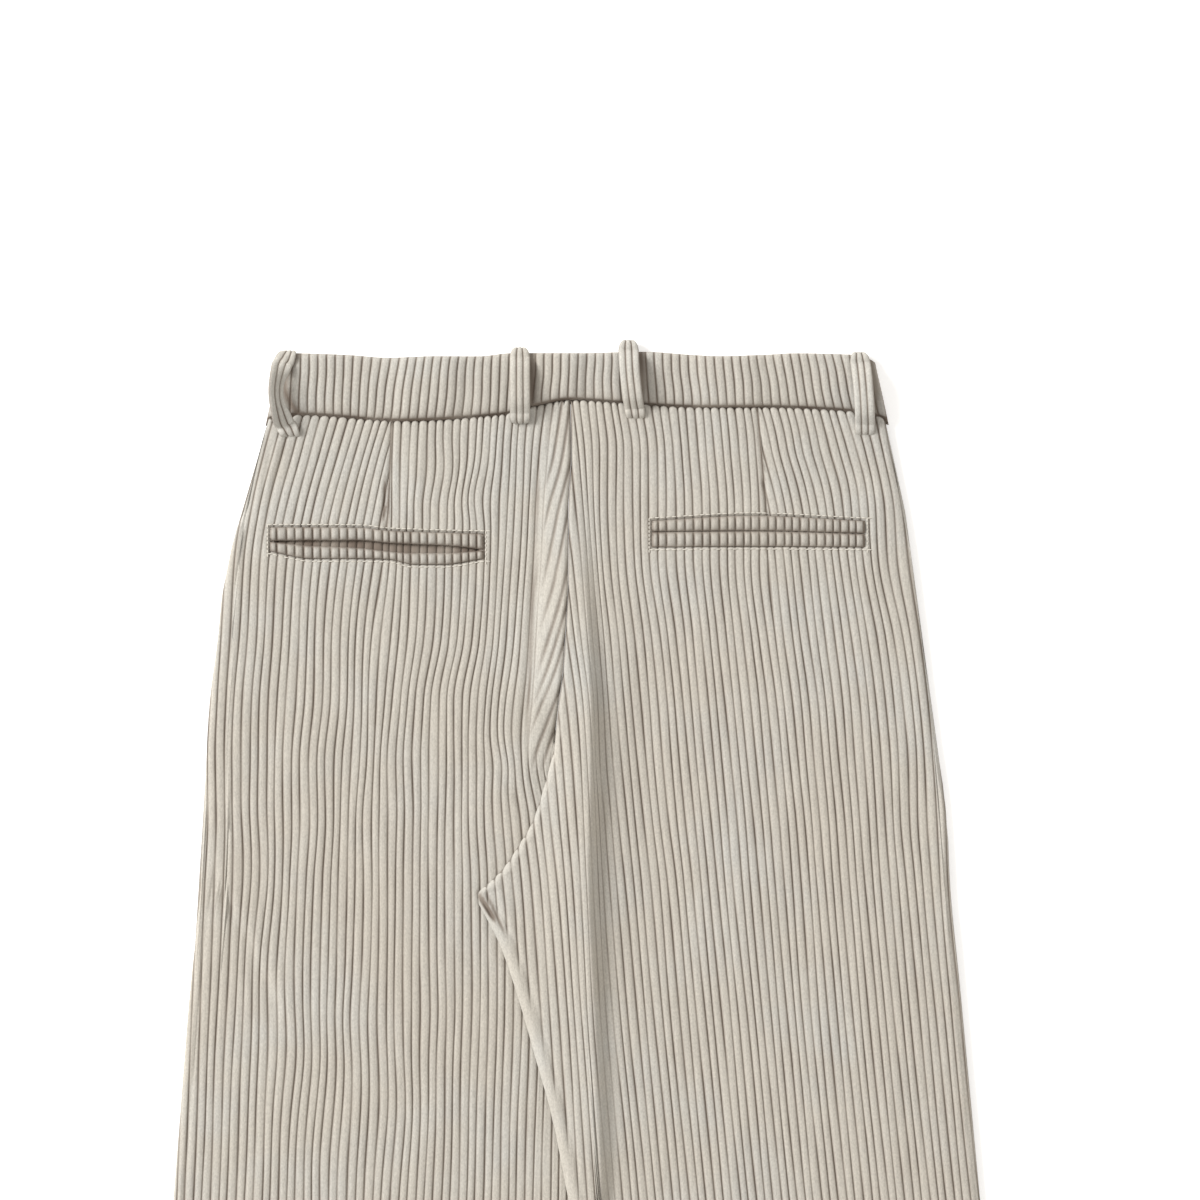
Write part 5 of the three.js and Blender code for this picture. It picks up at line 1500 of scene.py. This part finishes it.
def fly_flap():
    """The strip of cloth behind the front closing, on the inside of the right front."""
    low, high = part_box("fly_flap")
    left = max(low.x / MM - SHIFT_ACROSS, -FLY_REACH)
    right = high.x / MM - SHIFT_ACROSS
    top, bottom = SHIFT_DOWN - high.y / MM, SHIFT_DOWN - low.y / MM
    down = np.linspace(top, bottom, FLY_ROWS)[None, :]
    share = np.linspace(0, 1, FLY_COLUMNS)[:, None]
    start = np.maximum(left, RIGHT.first_edge(down) + GAP)
    across = start + (right - start) * share
    down = np.broadcast_to(down, across.shape)
    base = layers(RIGHT, across, down)[1] + FLY_CLEAR
    upper = metres(across, down, base + FLY_CLOTH)
    piece = shell("cord_fly_flap", upper, metres(across, down, base), 1.0, 1.0)
    return laid(piece)


# Build

back_left = back_panel(LEFT)
cut_mouth(back_left, LEFT_POCKET)
back_right = back_panel(RIGHT)
for leg, back in ((LEFT, back_left), (RIGHT, back_right)):
    width, length, area = panel_cut(leg)
    front = front_panel(leg)
    laid(back)
    laid(front)
    dress(back, CORD, "corduroy", f"back_{leg.name}")
    dress(front, CORD, "corduroy", f"front_{leg.name}")
    hem_stitches(leg)
    pocket_stitches(leg)
    for part, top_name, bottom_name in (("upper", "top", "mouth_top"), ("lower", "mouth_bottom", "bottom")):
        node = f"pocket_{leg.name}_{part}_lip"
        piece = lip(leg, leg.pocket, f"cord_{node}", top_name, bottom_name, part == "lower")
        length, width, area = strip_cut(leg.pocket, top_name, bottom_name)
        laid(piece)
        dress(piece, CORD, "corduroy", node)
pocket_facing = facing()
length, width, area = strip_cut(LEFT_POCKET, "mouth_top", "mouth_bottom", LIP_TUCK)
laid(pocket_facing)
dress(pocket_facing, CORD_INSIDE, "cord_inside", "pocket_left_facing")

band_across = np.linspace(*BAND_TOP_ENDS, 80)
band_width = (waist_seam(band_across) - waist_top(band_across)).mean()
band = laid(waistband_back())
dress(band, CORD, "corduroy", "waistband_back")
for side, start, end in (("left", 0, 0.5 - BAND_SPLIT), ("right", 0.5 + BAND_SPLIT, 1)):
    band = waistband_front(f"cord_waistband_front_{side}", start, end)
    laid(band)
    dress(band, CORD, "corduroy", f"waistband_front_{side}")
for name, loop in BACK_LOOPS.items():
    dress(back_loop(name, loop), CORD, "corduroy", name)
for name, across in FRONT_LOOPS.items():
    dress(front_loop(name, across), CORD, "corduroy", name)
dress(fly_flap(), CORD_INSIDE, "cord_inside", "fly_flap")
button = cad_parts["waist_button"]
button.data.materials.clear()
button.data.materials.append(BUTTON)


# Stage, light and camera

FLOOR_SIZE = 3000.0
FLOOR_DROP = 0.0002
KEY_OFF = (-6.6, 3.0, 4.6)
KEY_SIZE = 3.4
KEY_POWER = 690.0
SKY = (1.0, 0.965, 0.915, 1.0)
SKY_STRENGTH = 0.62


def floor():
    """The white surface that the cloth lies on."""
    corners = [(-1, -1), (1, -1), (1, 1), (-1, 1)]
    points = [(x * FLOOR_SIZE * MM, y * FLOOR_SIZE * MM, -FLOOR_DROP) for x, y in corners]
    thing = make_object("floor", points, [[0, 1, 2, 3]], smooth_faces=False)
    material, _, _, shader = new_material("floor_white")
    set_inputs(shader, {"Base Color": (0.97, 0.97, 0.97, 1), "Emission Color": (1, 1, 1, 1),
                        "Emission Strength": 0.42, "Roughness": 0.9, "Specular IOR Level": 0.0})
    thing.data.materials.append(material)


def key_light(target):
    """A wide soft light from the upper left."""
    data = bpy.data.lights.new("key_left", "AREA")
    data.shape = "DISK"
    data.size = KEY_SIZE
    data.energy = KEY_POWER
    thing = added("key_left", data)
    thing.location = Vector(target) + Vector(KEY_OFF)
    thing.rotation_euler = (Vector(target) - thing.location).to_track_quat("-Z", "Y").to_euler()


def light_and_camera():
    """The sky and the key light, and a camera straight above with the photograph's frame."""
    world = bpy.data.worlds.new("studio")
    bpy.context.scene.world = world
    world.use_nodes = True
    set_inputs(world.node_tree.nodes["Background"], {"Color": SKY, "Strength": SKY_STRENGTH})
    middle_x = (VIEW_ACROSS + SHIFT_ACROSS) * MM
    middle_y = (SHIFT_DOWN - VIEW_DOWN) * MM
    key_light((middle_x, middle_y, 0))
    camera_data = bpy.data.cameras.new("camera")
    camera_data.sensor_width = SENSOR_WIDTH
    camera_data.lens = SENSOR_WIDTH * CAMERA_HEIGHT / VIEW_WIDTH
    camera_data.clip_end = 100
    camera = added("camera", camera_data)
    camera.location = (middle_x, middle_y, CAMERA_HEIGHT * MM)
    bpy.context.scene.camera = camera
    bpy.context.scene.view_settings.view_transform = "Standard"


floor()
light_and_camera()
